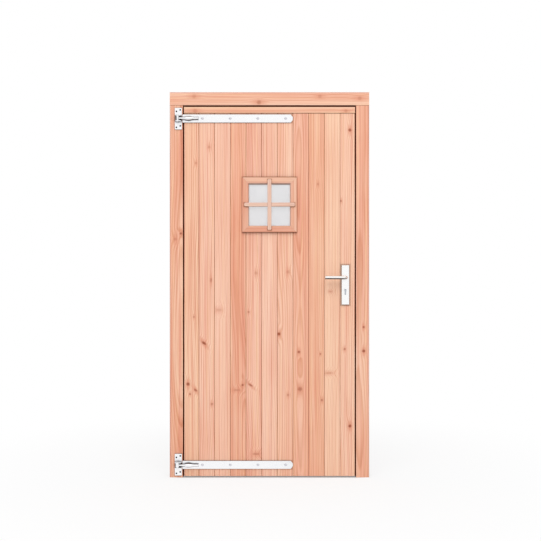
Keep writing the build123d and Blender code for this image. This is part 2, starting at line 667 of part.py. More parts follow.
def pieces():
    """Every piece of the door by name."""
    named = {
        "frame_head": head(),
        "hinge_jamb": jamb(0),
        "lock_jamb": lock_jamb(),
        "head_stop": head_stop(),
        "hinge_side_stop": side_stop(OPENING_LEFT),
        "lock_side_stop": side_stop(OPENING_RIGHT - STOP_PROJECTION),
        "threshold": threshold(),
        "strike_plate": strike_plate(),
        "top_strip": top_strip(),
        "hinge_stile": stile(LEAF_LEFT),
        "lock_stile": lock_stile(),
        "top_rail": rail(LEAF_TOP - RAIL_WIDTH / 2),
        "lock_rail": rail(LOCK_RAIL_HEIGHT),
        "bottom_rail": rail(LEAF_BOTTOM + RAIL_WIDTH / 2),
        "brace": brace(),
        "window_outer_casing": casing(front_casing_section(), LEAF_FRONT),
        "window_inner_casing": casing(back_casing_section(), BOARD_BACK),
        "window_pane": pane(),
        "window_upright_bar": window_bar(True),
        "window_level_bar": window_bar(False),
        "lock_case": lock_case(),
        "lock_follower": lock_follower(),
        "lock_bolts": lock_bolts(),
        "lock_cylinder": lock_cylinder(),
        "outer_backplate": backplate(-1),
        "inner_backplate": backplate(1),
        "outer_lever": lever(-1),
        "inner_lever": lever(1),
        "spindle": spindle(),
    }
    named.update(boards())
    for place, height in (("upper", UPPER_HINGE_HEIGHT), ("lower", LOWER_HINGE_HEIGHT)):
        named[f"{place}_jamb_plate"] = jamb_plate(height)
        named[f"{place}_hinge_pin"] = hinge_pin(height)
        named[f"{place}_eye_bolt"] = eye_bolt(height)
        named[f"{place}_strap"] = strap(height)
    return named


os.makedirs("parts", exist_ok=True)
for name, piece in pieces().items():
    export_step(piece, f"parts/{name}.step")
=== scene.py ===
import logging
import math
from dataclasses import dataclass, replace
from enum import Enum
from typing import Dict, List, Optional, Sequence, Tuple, Union

import bmesh
import bpy
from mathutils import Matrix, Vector


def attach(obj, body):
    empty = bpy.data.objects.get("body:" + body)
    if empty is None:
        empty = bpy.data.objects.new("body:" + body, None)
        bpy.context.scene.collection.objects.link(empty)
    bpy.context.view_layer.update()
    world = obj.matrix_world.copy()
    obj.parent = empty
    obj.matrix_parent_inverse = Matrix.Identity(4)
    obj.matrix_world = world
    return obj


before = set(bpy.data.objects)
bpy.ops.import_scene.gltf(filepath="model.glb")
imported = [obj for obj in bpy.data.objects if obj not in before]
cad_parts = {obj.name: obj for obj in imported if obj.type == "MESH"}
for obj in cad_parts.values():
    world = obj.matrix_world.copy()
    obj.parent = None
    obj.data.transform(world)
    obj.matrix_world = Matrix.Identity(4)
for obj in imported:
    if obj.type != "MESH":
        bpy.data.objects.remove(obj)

LOG = logging.getLogger("plank_door")
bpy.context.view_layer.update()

Socket = bpy.types.NodeSocket
Material = bpy.types.Material
Feed = Union[float, int, Sequence[float], Socket]
Pair = Tuple[float, float]
Triple = Tuple[float, float, float]
Colour = Tuple[float, float, float, float]

MM = 0.001
WHITE = (1.0, 1.0, 1.0, 1.0)

# The door's driving sizes and places, in metres. The face looks along negative y.
FRAME_WIDTH = 1.1
FRAME_HEIGHT = 2.125
DOOR_MIDDLE = FRAME_WIDTH / 2
FRAME_FACE = -0.045
LEAF_FACE = -0.05
LEAF_BACK = 0.002
LEAF_HALF = 0.4707
BOARD_COVER = 0.0864
BOARD_JOINTS = 10
STRIP_MIDDLE = 2.0255
STRIP_HALF = 0.0175
HINGE_HEIGHTS = (0.071, 1.978)
WINDOW_MIDDLE = (DOOR_MIDDLE, 1.503)
CASING_HALF = (0.15, 0.152)
PANE_HALF = (0.114, 0.116)
BAR_HALF = 0.011
BAR_REACH = 0.14
LOCK_AXIS = 0.9677


def paint(red: float, green: float, blue: float) -> Colour:
    """Turns a colour as a screen shows it into the shader's linear colour.

    Args:
        red, green, blue: The colour, each from 0 to 255.
    Returns:
        The linear colour with full cover.
    """
    linear = []
    for part in (red, green, blue):
        share = part / 255
        linear.append(share / 12.92 if share <= 0.04045 else ((share + 0.055) / 1.055) ** 2.4)
    return (linear[0], linear[1], linear[2], 1.0)


class NodeSketch:
    """Short ways to add nodes to one tree and to join them."""

    def __init__(self, tree: bpy.types.NodeTree) -> None:
        """Takes the tree that the nodes go into."""
        self.tree = tree

    def feed(self, socket: Socket, value: Feed) -> None:
        """Joins a socket to another one, or sets its own value."""
        if isinstance(value, bpy.types.NodeSocket):
            self.tree.links.new(value, socket)
        else:
            socket.default_value = value

    def add(self, kind: str, inputs: Optional[Dict] = None, **settings) -> bpy.types.Node:
        """Adds one node.

        Args:
            kind: The node's type.
            inputs: What each input is fed, by name or by number.
            settings: The node's own settings.
        Returns:
            The new node.
        """
        node = self.tree.nodes.new(kind)
        for name, value in settings.items():
            setattr(node, name, value)
        self.set_inputs(node, inputs or {})
        return node

    def set_inputs(self, node: bpy.types.Node, inputs: Dict) -> None:
        """Feeds a node's inputs, each by name or by number."""
        for key, value in inputs.items():
            self.feed(node.inputs[key], value)

    def math(self, operation: str, *values: Feed, clamp: bool = False) -> Socket:
        """Adds a sum of one to three numbers and returns its result."""
        inputs = dict(enumerate(values))
        return self.add("ShaderNodeMath", inputs, operation=operation, use_clamp=clamp).outputs[0]

    def off(self, value: Feed, middle: float) -> Socket:
        """Gives how far a number is from a middle, on either side of it."""
        return self.math("ABSOLUTE", self.math("SUBTRACT", value, middle))

    def vector(self, operation: str, *values: Feed) -> Socket:
        """Adds a sum of vectors and returns the resulting vector."""
        return self.add("ShaderNodeVectorMath", dict(enumerate(values)), operation=operation).outputs[0]

    def measure(self, operation: str, *values: Feed) -> Socket:
        """Adds a sum of vectors and returns the resulting number."""
        return self.add("ShaderNodeVectorMath", dict(enumerate(values)), operation=operation).outputs[1]

    def join(self, across: Feed, deep: Feed, along: Feed) -> Socket:
        """Makes a vector of three numbers."""
        return self.add("ShaderNodeCombineXYZ", {0: across, 1: deep, 2: along}).outputs[0]

    def split(self, vector: Socket) -> List[Socket]:
        """Gives the three numbers of a vector."""
        return list(self.add("ShaderNodeSeparateXYZ", {0: vector}).outputs)

    def ease(self, value: Feed, low: float, high: float, start: float = 0.0, end: float = 1.0) -> Socket:
        """Maps a number from one range to another with soft ends.

        Args:
            value: The number.
            low, high: The range that it is taken from.
            start, end: The range that it is given in.
        Returns:
            The mapped number.
        """
        inputs = dict(enumerate((value, low, high, start, end)))
        return self.add("ShaderNodeMapRange", inputs, interpolation_type="SMOOTHSTEP").outputs[0]

    def fade(self, value: Feed, full: float, end: float, strength: float = 1.0) -> Socket:
        """Falls softly from a strength to nothing, as a number goes from where it is full to its end."""
        return self.ease(value, full, end, strength, 0.0)

    def noise(self, where: Socket, scale: float = 1.0, detail: float = 2.0) -> bpy.types.Node:
        """Adds a cloud pattern and returns its node."""
        return self.add("ShaderNodeTexNoise", {"Vector": where, "Scale": scale, "Detail": detail})

    def cloud(self, where: Socket, scale: float = 1.0, detail: float = 2.0) -> Socket:
        """Gives a cloud pattern as a number about zero."""
        return self.math("SUBTRACT", self.noise(where, scale, detail).outputs[0], 0.5)

    def blend(self, share: Feed, first: Feed, second: Feed, way: str = "MIX") -> Socket:
        """Mixes two colours.

        Args:
            share: How much of the second shows.
            first, second: The colours.
            way: The way of mixing.
        Returns:
            The mixed colour.
        """
        inputs = {0: share, 6: first, 7: second}
        return self.add("ShaderNodeMix", inputs, data_type="RGBA", blend_type=way).outputs[2]

    def shaded(self, share: Feed, colour: Feed, shade: Triple) -> Socket:
        """Multiplies a colour by a shade, as far as a share says.

        Args:
            share: How much of the shade shows.
            colour: The colour.
            shade: What its red, green and blue are multiplied by.
        Returns:
            The shaded colour.
        """
        return self.blend(share, colour, self.blend(1.0, colour, (*shade, 1.0), "MULTIPLY"))

    def object_place(self) -> Socket:
        """Gives each point's place in the door's own frame."""
        return self.add("ShaderNodeTexCoord").outputs["Object"]

    def normal(self) -> Socket:
        """Gives the way that the surface faces at each point, in the door's own frame."""
        return self.add("ShaderNodeTexCoord").outputs["Normal"]

    def relief(self, height: Socket, strength: float, distance: float) -> Socket:
        """Makes fine relief of a height and returns the surface's new facing."""
        inputs = {"Height": height, "Strength": strength, "Distance": distance}
        return self.add("ShaderNodeBump", inputs).outputs[0]


def new_material(name: str) -> Tuple[Material, NodeSketch, bpy.types.Node]:
    """Starts a material.

    Args:
        name: Its name.
    Returns:
        The material, a sketch of its tree, and its surface shader.
    """
    material = bpy.data.materials.new(name)
    material.use_nodes = True
    sketch = NodeSketch(material.node_tree)
    shader = material.node_tree.nodes["Principled BSDF"]
    return material, sketch, shader


def new_object(name: str, data: bpy.types.ID) -> bpy.types.Object:
    """Puts a new object at the scene's origin.

    Args:
        name: Its name.
        data: Its mesh, lamp or camera.
    Returns:
        The object.
    """
    thing = bpy.data.objects.new(name, data)
    bpy.context.scene.collection.objects.link(thing)
    return thing


@dataclass(frozen=True)
class Knot:
    """One knot of a timber, by its place on the door's face in metres."""

    x: float
    z: float
    radius: float = 0.006
    strength: float = 0.8
    lean: float = 0.0
    stretch: float = 1.0


class KnotGroup:
    """The shared node group of one knot: its heart, its red halo and its push on the grain."""

    NAME = "fir_knot"
    SOCKETS = (("INPUT", "NodeSocketVector", ("Place", "Centre")),
               ("INPUT", "NodeSocketFloat", ("Radius", "Stretch", "Lean", "Ragged")),
               ("OUTPUT", "NodeSocketFloat", ("Heart", "Halo", "Push")))
    # Each part's squeeze across and along the grain, and where it is full and where it ends, in knot radii.
    PARTS = (("Heart", 1.0, 1.0, 0.5, 1.55), ("Halo", 0.5, 0.22, 0.15, 1.3), ("Push", 0.3, 0.14, 0.0, 1.3))

    @classmethod
    def tree(cls) -> bpy.types.NodeTree:
        """Gives the group's tree, built on first use."""
        if cls.NAME in bpy.data.node_groups:
            return bpy.data.node_groups[cls.NAME]
        tree = bpy.data.node_groups.new(cls.NAME, "ShaderNodeTree")
        for way, kind, names in cls.SOCKETS:
            for name in names:
                tree.interface.new_socket(name=name, in_out=way, socket_type=kind)
        sketch = NodeSketch(tree)
        given = sketch.add("NodeGroupInput").outputs
        result = sketch.add("NodeGroupOutput").inputs
        across, _, along = sketch.split(sketch.vector("SUBTRACT", given["Place"], given["Centre"]))
        across = sketch.math("MULTIPLY_ADD", along, given["Lean"], across)
        across = sketch.math("DIVIDE", across, given["Radius"])
        along = sketch.math("DIVIDE", along, sketch.math("MULTIPLY", given["Radius"], given["Stretch"]))
        for name, squeeze_across, squeeze_along, full, end in cls.PARTS:
            reach = sketch.join(sketch.math("MULTIPLY", across, squeeze_across), 0.0,
                                sketch.math("MULTIPLY", along, squeeze_along))
            reach = sketch.measure("LENGTH", reach)
            reach = sketch.math("MULTIPLY_ADD", given["Ragged"], squeeze_across, reach)
            sketch.feed(result[name], sketch.fade(reach, full, end))
        return tree


@dataclass(frozen=True)
class Seat:
    """The outline of a piece that sits on a timber, and the painted shadow line around it there, in metres.
    """

    middle: Pair
    half: Pair
    line: float = 0.006
    strength: float = 0.7
    shade: Triple = (0.58, 0.5, 0.45)

    def reaches(self, low: float, high: float) -> bool:
        """Says whether the line comes between two places across the door."""
        reach = self.half[0] + self.line
        return self.middle[0] - reach < high and self.middle[0] + reach > low


# The painted shadow beside the bars' ends on the casing.
BAR_SHADE = (0.5, 0.38, 0.31)
STRAP_MIDDLE = 0.372
STRAP_HALF = (0.302, 0.0225)
PLATE_MIDDLE = 0.0475
PLATE_HALF = (0.0195, 0.0595)


class Seats(Enum):
    """The pieces that sit on the boards, on the hinge jamb and on the window's casing, each with a painted
    shadow line around it.
    """

    CASING = Seat(WINDOW_MIDDLE, CASING_HALF, 0.008)
    # The pane's line is painted shade on the casing's bevel along the glass.
    PANE = Seat(WINDOW_MIDDLE, PANE_HALF, 0.0055, shade=(0.78, 0.98, 1.12))
    UPRIGHT_BAR = Seat(WINDOW_MIDDLE, (BAR_HALF, BAR_REACH), 0.0055, 0.8, BAR_SHADE)
    LEVEL_BAR = Seat(WINDOW_MIDDLE, (BAR_REACH, BAR_HALF), 0.0055, 0.8, BAR_SHADE)
    LOWER_STRAP = Seat((STRAP_MIDDLE, HINGE_HEIGHTS[0]), STRAP_HALF, 0.0065, 0.75)
    UPPER_STRAP = Seat((STRAP_MIDDLE, HINGE_HEIGHTS[1]), STRAP_HALF, 0.0065, 0.75)
    BACKPLATE = Seat((LOCK_AXIS, 1.0615), (0.021, 0.1085), 0.013, 0.95, (0.46, 0.5, 0.53))
    TOP_STRIP = Seat((DOOR_MIDDLE, STRIP_MIDDLE), (LEAF_HALF, STRIP_HALF), 0.005, 0.6)
    LOWER_PLATE = Seat((PLATE_MIDDLE, HINGE_HEIGHTS[0]), PLATE_HALF, 0.006, 0.6)
    UPPER_PLATE = Seat((PLATE_MIDDLE, HINGE_HEIGHTS[1]), PLATE_HALF, 0.006, 0.6)


@dataclass(frozen=True)
class EdgeShade:
    """How a timber's colour is painted at an edge: painted shade on its arris and on its sawn side, and a
    tint on the face just inside.
    """

    arris: Triple
    sawn: Triple
    face: Optional[Triple] = None

    # Where each band is full and where it ends, in metres inside the edge.
    FACE_BAND = (0.0045, 0.0085)
    ARRIS_BAND = (0.0008, 0.0032)
    SAWN_BAND = (0.0001, 0.0009)

    def bands(self) -> List[Tuple[Pair, Triple]]:
        """Gives each band that has a shade, from the face out, with its shade."""
        bands = ((self.FACE_BAND, self.face), (self.ARRIS_BAND, self.arris), (self.SAWN_BAND, self.sawn))
        return [(band, shade) for band, shade in bands if shade is not None]


class Edge(Enum):
    """What a timber's edge faces: the next board, an open gap, or the wall."""

    # JOINT and GAP are painted shade in the joints and in the gaps around the leaf; GAP's face band is a
    # painted highlight just inside the edge. WALL greys the outer edge a little.
    JOINT = EdgeShade((0.88, 0.81, 0.77), (0.28, 0.16, 0.11))
    GAP = EdgeShade((0.36, 0.15, 0.08), (0.27, 0.055, 0.02), (1.03, 1.1, 1.13))
    WALL = EdgeShade((0.78, 0.77, 0.81), (0.82, 0.78, 0.8), (0.93, 0.95, 1.04))


class Grain(Enum):
    """Which way the grain of a timber runs, as degrees above level; mitred timber has two ways."""

    UPRIGHT = 90.0
    LEVEL = 0.0
    MITRED = None


@dataclass(frozen=True)
class FirFinish:
    """Planed, untreated fir: growth rings about a pith, broad figure, fibres, resin flecks and knots."""

    name: str
    depth: float = 0.45
    blush: float = 0.0
    grain: Grain = Grain.UPRIGHT
    slope: Optional[float] = None
    centre: Triple = (0.0, 0.0, 0.0)
    mitre: Pair = CASING_HALF
    pith: Pair = (0.02, 0.06)
    wander: float = 0.05
    ring: float = 0.0046
    figure: float = 1.0
    seed: float = 1.0
    knots: Tuple[Knot, ...] = ()
    push: float = 1.2
    edges: Tuple[Optional[float], Optional[float]] = (None, None)
    edge_kinds: Tuple[Edge, Edge] = (Edge.JOINT, Edge.JOINT)
    streaks: float = 0.6
    seats: Tuple[Seat, ...] = ()
    side_depths: Tuple[float, float, float, float] = (0.0, 0.0, 0.0, 0.0)
    tint: Triple = (1.0, 1.0, 1.0)

    PALE = paint(247, 207, 181)
    HONEY = paint(244, 198, 160)
    ROSE = paint(222, 148, 124)
    SALMON = paint(231, 163, 135)
    HALO = paint(214, 138, 111)
    HEART = paint(148, 79, 56)
    HEART_RIM = paint(184, 110, 84)
    LATE_WOOD = (0.78, 0.6, 0.49)
    # How far apart the patterns of a mitred timber's sides lie, in metres.
    APART = 0.37
    # How closely each pattern repeats across, into and along the timber, to the metre.
    RIPPLES = (16.0, 16.0, 2.2)
    PATCHES = (11.0, 11.0, 2.6)
    FIBRES = (820.0, 820.0, 11.0)
    FLECKS = (330.0, 330.0, 9.0)
    STREAKS = (165.0, 165.0, 1.1)
    KNOT_ROUGH = 160.0
    # How the pith's wander and the broad figure change: with the seed or the rings, and along the timber.
    PITH_DRIFT = (0.37, 0.75)
    FIGURE_DRIFT = (0.3, 0.9)
    RIPPLE_HEIGHT = 0.006
    FIGURE_SHARE = 1.25
    PATCH_SHARE = 0.8
    # Where late wood begins and is full, and where it breaks off, in parts of a ring.
    LATE_RISE = (0.25, 0.86)
    LATE_FALL = (0.84, 1.0)
    LATE_SHARE = 0.75
    YEAR_STRENGTHS = (0.3, 0.95)
    FLECK_BAND = (0.66, 0.8)
    HONEY_BAND = (0.5, 0.68)
    ROSE_BAND = (0.33, 0.5)
    # What a full blush takes from the green and adds to the blue.
    BLUSH_SHARES = (-0.02, 0.06)
    FIBRE_SHADE = 0.16
    FLECK_SHADE = -0.1
    HALO_SHARE = 0.8
    HALO_LEAST = 0.35
    HALO_GAIN = 0.5
    END_BAND = (0.6, 0.95)
    END_SHADE = 0.74
    # How far behind the face the painted shadow lines around seated pieces fade out, in metres.
    FACE_BAND = (0.002, 0.005)
    FIBRE_SPREAD = 0.3
    FIBRE_HEIGHT = 0.5
    ROUGHNESS = (0.66, 0.54)
    GLOSS = 0.03
    RELIEF = 0.35
    RELIEF_HEIGHT = 0.0003

    def turn(self) -> float:
        """The angle about the door's depth that stands the grain upright."""
        slope = self.grain.value if self.slope is None else self.slope
        return math.radians(slope - Grain.UPRIGHT.value)

    def laid(self, sketch: NodeSketch) -> Socket:
        """Gives each point's place in the timber: across the grain, into the timber, along the grain.

        Args:
            sketch: The material's tree.
        Returns:
            The place as a vector in metres.
        """
        local = sketch.vector("SUBTRACT", sketch.object_place(), self.centre)
        if self.grain is not Grain.MITRED:
            turned = {"Vector": local, "Rotation": (0.0, self.turn(), 0.0)}
            return sketch.add("ShaderNodeMapping", turned).outputs[0]
        x, y, z = sketch.split(local)
        past_side = sketch.math("SUBTRACT", sketch.math("ABSOLUTE", x), self.mitre[0])
        past_top = sketch.math("SUBTRACT", sketch.math("ABSOLUTE", z), self.mitre[1])
        level = sketch.math("GREATER_THAN", past_top, past_side)
        upright_lay = sketch.join(sketch.math("MULTIPLY_ADD", sketch.math("SIGN", x), self.APART, x), y, z)
        level_lay = sketch.join(sketch.math("MULTIPLY_ADD", sketch.math("SIGN", z), self.APART, z), y,
                                sketch.math("ADD", x, 2 * self.APART))
        node = sketch.add("ShaderNodeMix", data_type="VECTOR")
        sketch.set_inputs(node, {0: level, 4: upright_lay, 5: level_lay})
        return node.outputs[1]

    def knot_centre(self, knot: Knot) -> Triple:
        """Gives a knot's place in the timber's own lay."""
        x = knot.x - self.centre[0]
        z = knot.z - self.centre[2]
        cosine = math.cos(self.turn())
        sine = math.sin(self.turn())
        return (x * cosine + z * sine, 0.0, z * cosine - x * sine)

    def draw_knots(self, sketch: NodeSketch, lay: Socket) -> List[Feed]:
        """Draws every knot.

        Args:
            sketch: The material's tree.
            lay: Each point's place in the timber.
        Returns:
            The hearts, the halos and the push on the grain, each over all knots.
        """
        hearts: Feed = 0.0
        halos: Feed = 0.0
        push: Feed = 0.0
        if not self.knots:
            return [hearts, halos, push]
        ragged = sketch.cloud(lay, self.KNOT_ROUGH, 3.0)
        for knot in self.knots:
            node = sketch.add("ShaderNodeGroup", node_tree=KnotGroup.tree())
            sketch.set_inputs(node, {"Place": lay, "Centre": self.knot_centre(knot), "Radius": knot.radius,
                                     "Stretch": knot.stretch, "Lean": knot.lean, "Ragged": ragged})
            heart = sketch.math("MULTIPLY", node.outputs["Heart"], knot.strength)
            halo_strength = self.HALO_LEAST + self.HALO_GAIN * knot.strength
            halo = sketch.math("MULTIPLY", node.outputs["Halo"], halo_strength)
            hearts = sketch.math("MAXIMUM", hearts, heart)
            halos = sketch.math("MAXIMUM", halos, halo)
            push = sketch.math("MULTIPLY_ADD", node.outputs["Push"], self.push * knot.radius, push)
        return [hearts, halos, push]

    def side_tone(self, sketch: NodeSketch, lay: Socket) -> Feed:
        """Gives each side of a mitred timber its own depth of tone.

        Args:
            sketch: The material's tree.
            lay: Each point's place in the timber.
        Returns:
            The depth of tone: left, right, lower or upper side's own.
        """
        if self.grain is not Grain.MITRED:
            return self.depth
        across, _, along = sketch.split(lay)
        level = sketch.math("GREATER_THAN", along, self.APART)
        positive = sketch.math("GREATER_THAN", across, 0.0)
        left, right, lower, upper = (self.depth + extra for extra in self.side_depths)
        upright_tone = sketch.math("MULTIPLY_ADD", positive, right - left, left)
        level_tone = sketch.math("MULTIPLY_ADD", positive, upper - lower, lower)
        more = sketch.math("SUBTRACT", level_tone, upright_tone)
        return sketch.math("MULTIPLY_ADD", level, more, upright_tone)

    def rings(self, sketch: NodeSketch, lay: Socket, push: Feed) -> Socket:
        """Counts the growth rings from the wandering pith to each point.

        Args:
            sketch: The material's tree.
            lay: Each point's place in the timber.
            push: How far the knots push the grain aside.
        Returns:
            The count, with its part of a ring.
        """
        across, deep, along = sketch.split(lay)
        drift = sketch.join(self.seed, self.PITH_DRIFT[0] * self.seed,
                            sketch.math("MULTIPLY", along, self.PITH_DRIFT[1]))
        wander = sketch.split(sketch.noise(drift, detail=1.0).outputs[1])
        side = sketch.math("MULTIPLY_ADD", wander[0], -2 * self.wander, self.wander - self.pith[0])
        depth = sketch.math("MULTIPLY_ADD", wander[1], -2 * self.wander, self.wander - self.pith[1])
        from_pith = sketch.join(sketch.math("ADD", across, side), sketch.math("ADD", deep, depth), 0.0)
        ripple = sketch.cloud(sketch.vector("MULTIPLY", lay, self.RIPPLES))
        radius = sketch.math("MULTIPLY_ADD", ripple, self.RIPPLE_HEIGHT, sketch.measure("LENGTH", from_pith))
        radius = sketch.math("ADD", radius, push)
        return sketch.math("DIVIDE", radius, self.ring)

    def late_wood(self, sketch: NodeSketch, rings: Socket) -> Socket:
        """Says how much of each point is dark late wood.

        Args:
            sketch: The material's tree.
            rings: The count of rings at each point.
        Returns:
            The share, which each year has more or less of.
        """
        part = sketch.math("FRACT", rings)
        late = sketch.math("MULTIPLY", sketch.ease(part, *self.LATE_RISE), sketch.fade(part, *self.LATE_FALL))
        number = {"W": sketch.math("FLOOR", rings)}
        year = sketch.add("ShaderNodeTexWhiteNoise", number, noise_dimensions="1D").outputs[0]
        return sketch.math("MULTIPLY", late, sketch.ease(year, 0.0, 1.0, *self.YEAR_STRENGTHS))

    def moved(self, sketch: NodeSketch, lay: Socket, scale: Triple) -> Socket:
        """Gives the place for a pattern of a scale, moved by the timber's seed."""
        return sketch.vector("MULTIPLY_ADD", lay, scale, (self.seed,) * 3)

    def early_wood(self, sketch: NodeSketch, lay: Socket, rings: Socket) -> Socket:
        """Paints the pale wood: broad figure, patches, honey and rose streaks, and the timber's own tint.

        Args:
            sketch: The material's tree.
            lay: Each point's place in the timber.
            rings: The count of rings at each point.
        Returns:
            The colour.
        """
        along = sketch.split(lay)[2]
        figure_place = sketch.join(sketch.math("MULTIPLY", rings, self.FIGURE_DRIFT[0]), self.seed,
                                   sketch.math("MULTIPLY", along, self.FIGURE_DRIFT[1]))
        figure = sketch.cloud(figure_place, detail=2.5)
        patch = sketch.cloud(self.moved(sketch, lay, self.PATCHES), detail=1.0)
        tone = self.side_tone(sketch, lay)
        tone = sketch.math("MULTIPLY_ADD", figure, self.FIGURE_SHARE * self.figure, tone)
        tone = sketch.math("MULTIPLY_ADD", patch, self.PATCH_SHARE, tone)
        early = sketch.blend(tone, self.PALE, self.SALMON)
        streak = sketch.noise(self.moved(sketch, lay, self.STREAKS)).outputs[0]
        early = sketch.blend(sketch.ease(streak, *self.HONEY_BAND, 0.0, self.streaks), early, self.HONEY)
        early = sketch.blend(sketch.fade(streak, *self.ROSE_BAND, self.streaks), early, self.ROSE)
        green, blue = (1.0 + share * self.blush for share in self.BLUSH_SHARES)
        rosy = (self.tint[0], self.tint[1] * green, self.tint[2] * blue, 1.0)
        return sketch.blend(1.0, early, rosy, "MULTIPLY")

    def material(self) -> Material:
        """Builds the finish."""
        material, sketch, shader = new_material(self.name)
        lay = self.laid(sketch)
        heart, halo, push = self.draw_knots(sketch, lay)
        rings = self.rings(sketch, lay, push)
        late = self.late_wood(sketch, rings)
        early = self.early_wood(sketch, lay, rings)
        colour = sketch.shaded(sketch.math("MULTIPLY", late, self.LATE_SHARE), early, self.LATE_WOOD)
        fibre = sketch.cloud(sketch.vector("MULTIPLY", lay, self.FIBRES))
        fleck = sketch.noise(self.moved(sketch, lay, self.FLECKS), detail=1.0).outputs[0]
        shade = sketch.math("MULTIPLY_ADD", fibre, self.FIBRE_SHADE, 1.0)
        shade = sketch.math("MULTIPLY_ADD", sketch.ease(fleck, *self.FLECK_BAND), self.FLECK_SHADE, shade)
        shade = sketch.math("MULTIPLY", shade, self.end_shade(sketch))
        colour = sketch.blend(1.0, colour, sketch.join(shade, shade, shade), "MULTIPLY")
        if self.knots:
            colour = sketch.blend(sketch.math("MULTIPLY", halo, self.HALO_SHARE), colour, self.HALO)
            colour = sketch.blend(heart, colour, sketch.blend(heart, self.HEART_RIM, self.HEART))
        colour = self.shade_edges(sketch, lay, colour)
        rough = sketch.ease(fibre, -self.FIBRE_SPREAD, self.FIBRE_SPREAD, *self.ROUGHNESS)
        height = sketch.math("MULTIPLY_ADD", fibre, self.FIBRE_HEIGHT, late)
        sketch.set_inputs(shader, {"Base Color": colour, "Roughness": rough, "Specular IOR Level": self.GLOSS,
                                   "Normal": sketch.relief(height, self.RELIEF, self.RELIEF_HEIGHT)})
        return material

    def shade_edges(self, sketch: NodeSketch, lay: Socket, colour: Socket) -> Socket:
        """Paints shade on the edges at a joint, a gap or the wall, and a painted shadow line around each
        seated piece.

        Args:
            sketch: The material's tree.
            lay: Each point's place in the timber.
            colour: The timber's colour.
        Returns:
            The colour with its edges shaded.
        """
        across = sketch.split(lay)[0]
        for edge, sign, kind in zip(self.edges, (1.0, -1.0), self.edge_kinds):
            if edge is None:
                continue
            inside = sketch.math("MULTIPLY_ADD", across, sign, -sign * edge)
            for band, shade in kind.value.bands():
                colour = sketch.shaded(sketch.fade(inside, *band), colour, shade)
        if not self.seats:
            return colour
        x, y, z = sketch.split(sketch.object_place())
        front = sketch.fade(y, *(self.centre[1] + behind for behind in self.FACE_BAND))
        # Painted shadow: a dark line around each seated piece, on the face only.
        for seat in self.seats:
            beside = sketch.math("SUBTRACT", sketch.off(x, seat.middle[0]), seat.half[0])
            above = sketch.math("SUBTRACT", sketch.off(z, seat.middle[1]), seat.half[1])
            line = sketch.fade(sketch.math("MAXIMUM", beside, above), 0.0, seat.line, seat.strength)
            colour = sketch.shaded(sketch.math("MULTIPLY", line, front), colour, seat.shade)
        return colour

    def end_shade(self, sketch: NodeSketch) -> Feed:
        """Darkens sawn ends, where the grain stands out of the surface."""
        if self.grain is Grain.MITRED:
            return 1.0
        slope = self.turn() + math.pi / 2
        facing = sketch.measure("DOT_PRODUCT", sketch.normal(), (math.cos(slope), 0.0, math.sin(slope)))
        return sketch.ease(sketch.math("ABSOLUTE", facing), *self.END_BAND, 1.0, self.END_SHADE)


class HingeShade(Enum):
    """Where a hinge piece's zinc gets painted shade, besides the painted dark reflection on the faces that
    look up or down.
    """

    PLAIN = "plain"
    BETWEEN_EARS = "between_ears"
    AROUND_HOUSING = "around_housing"


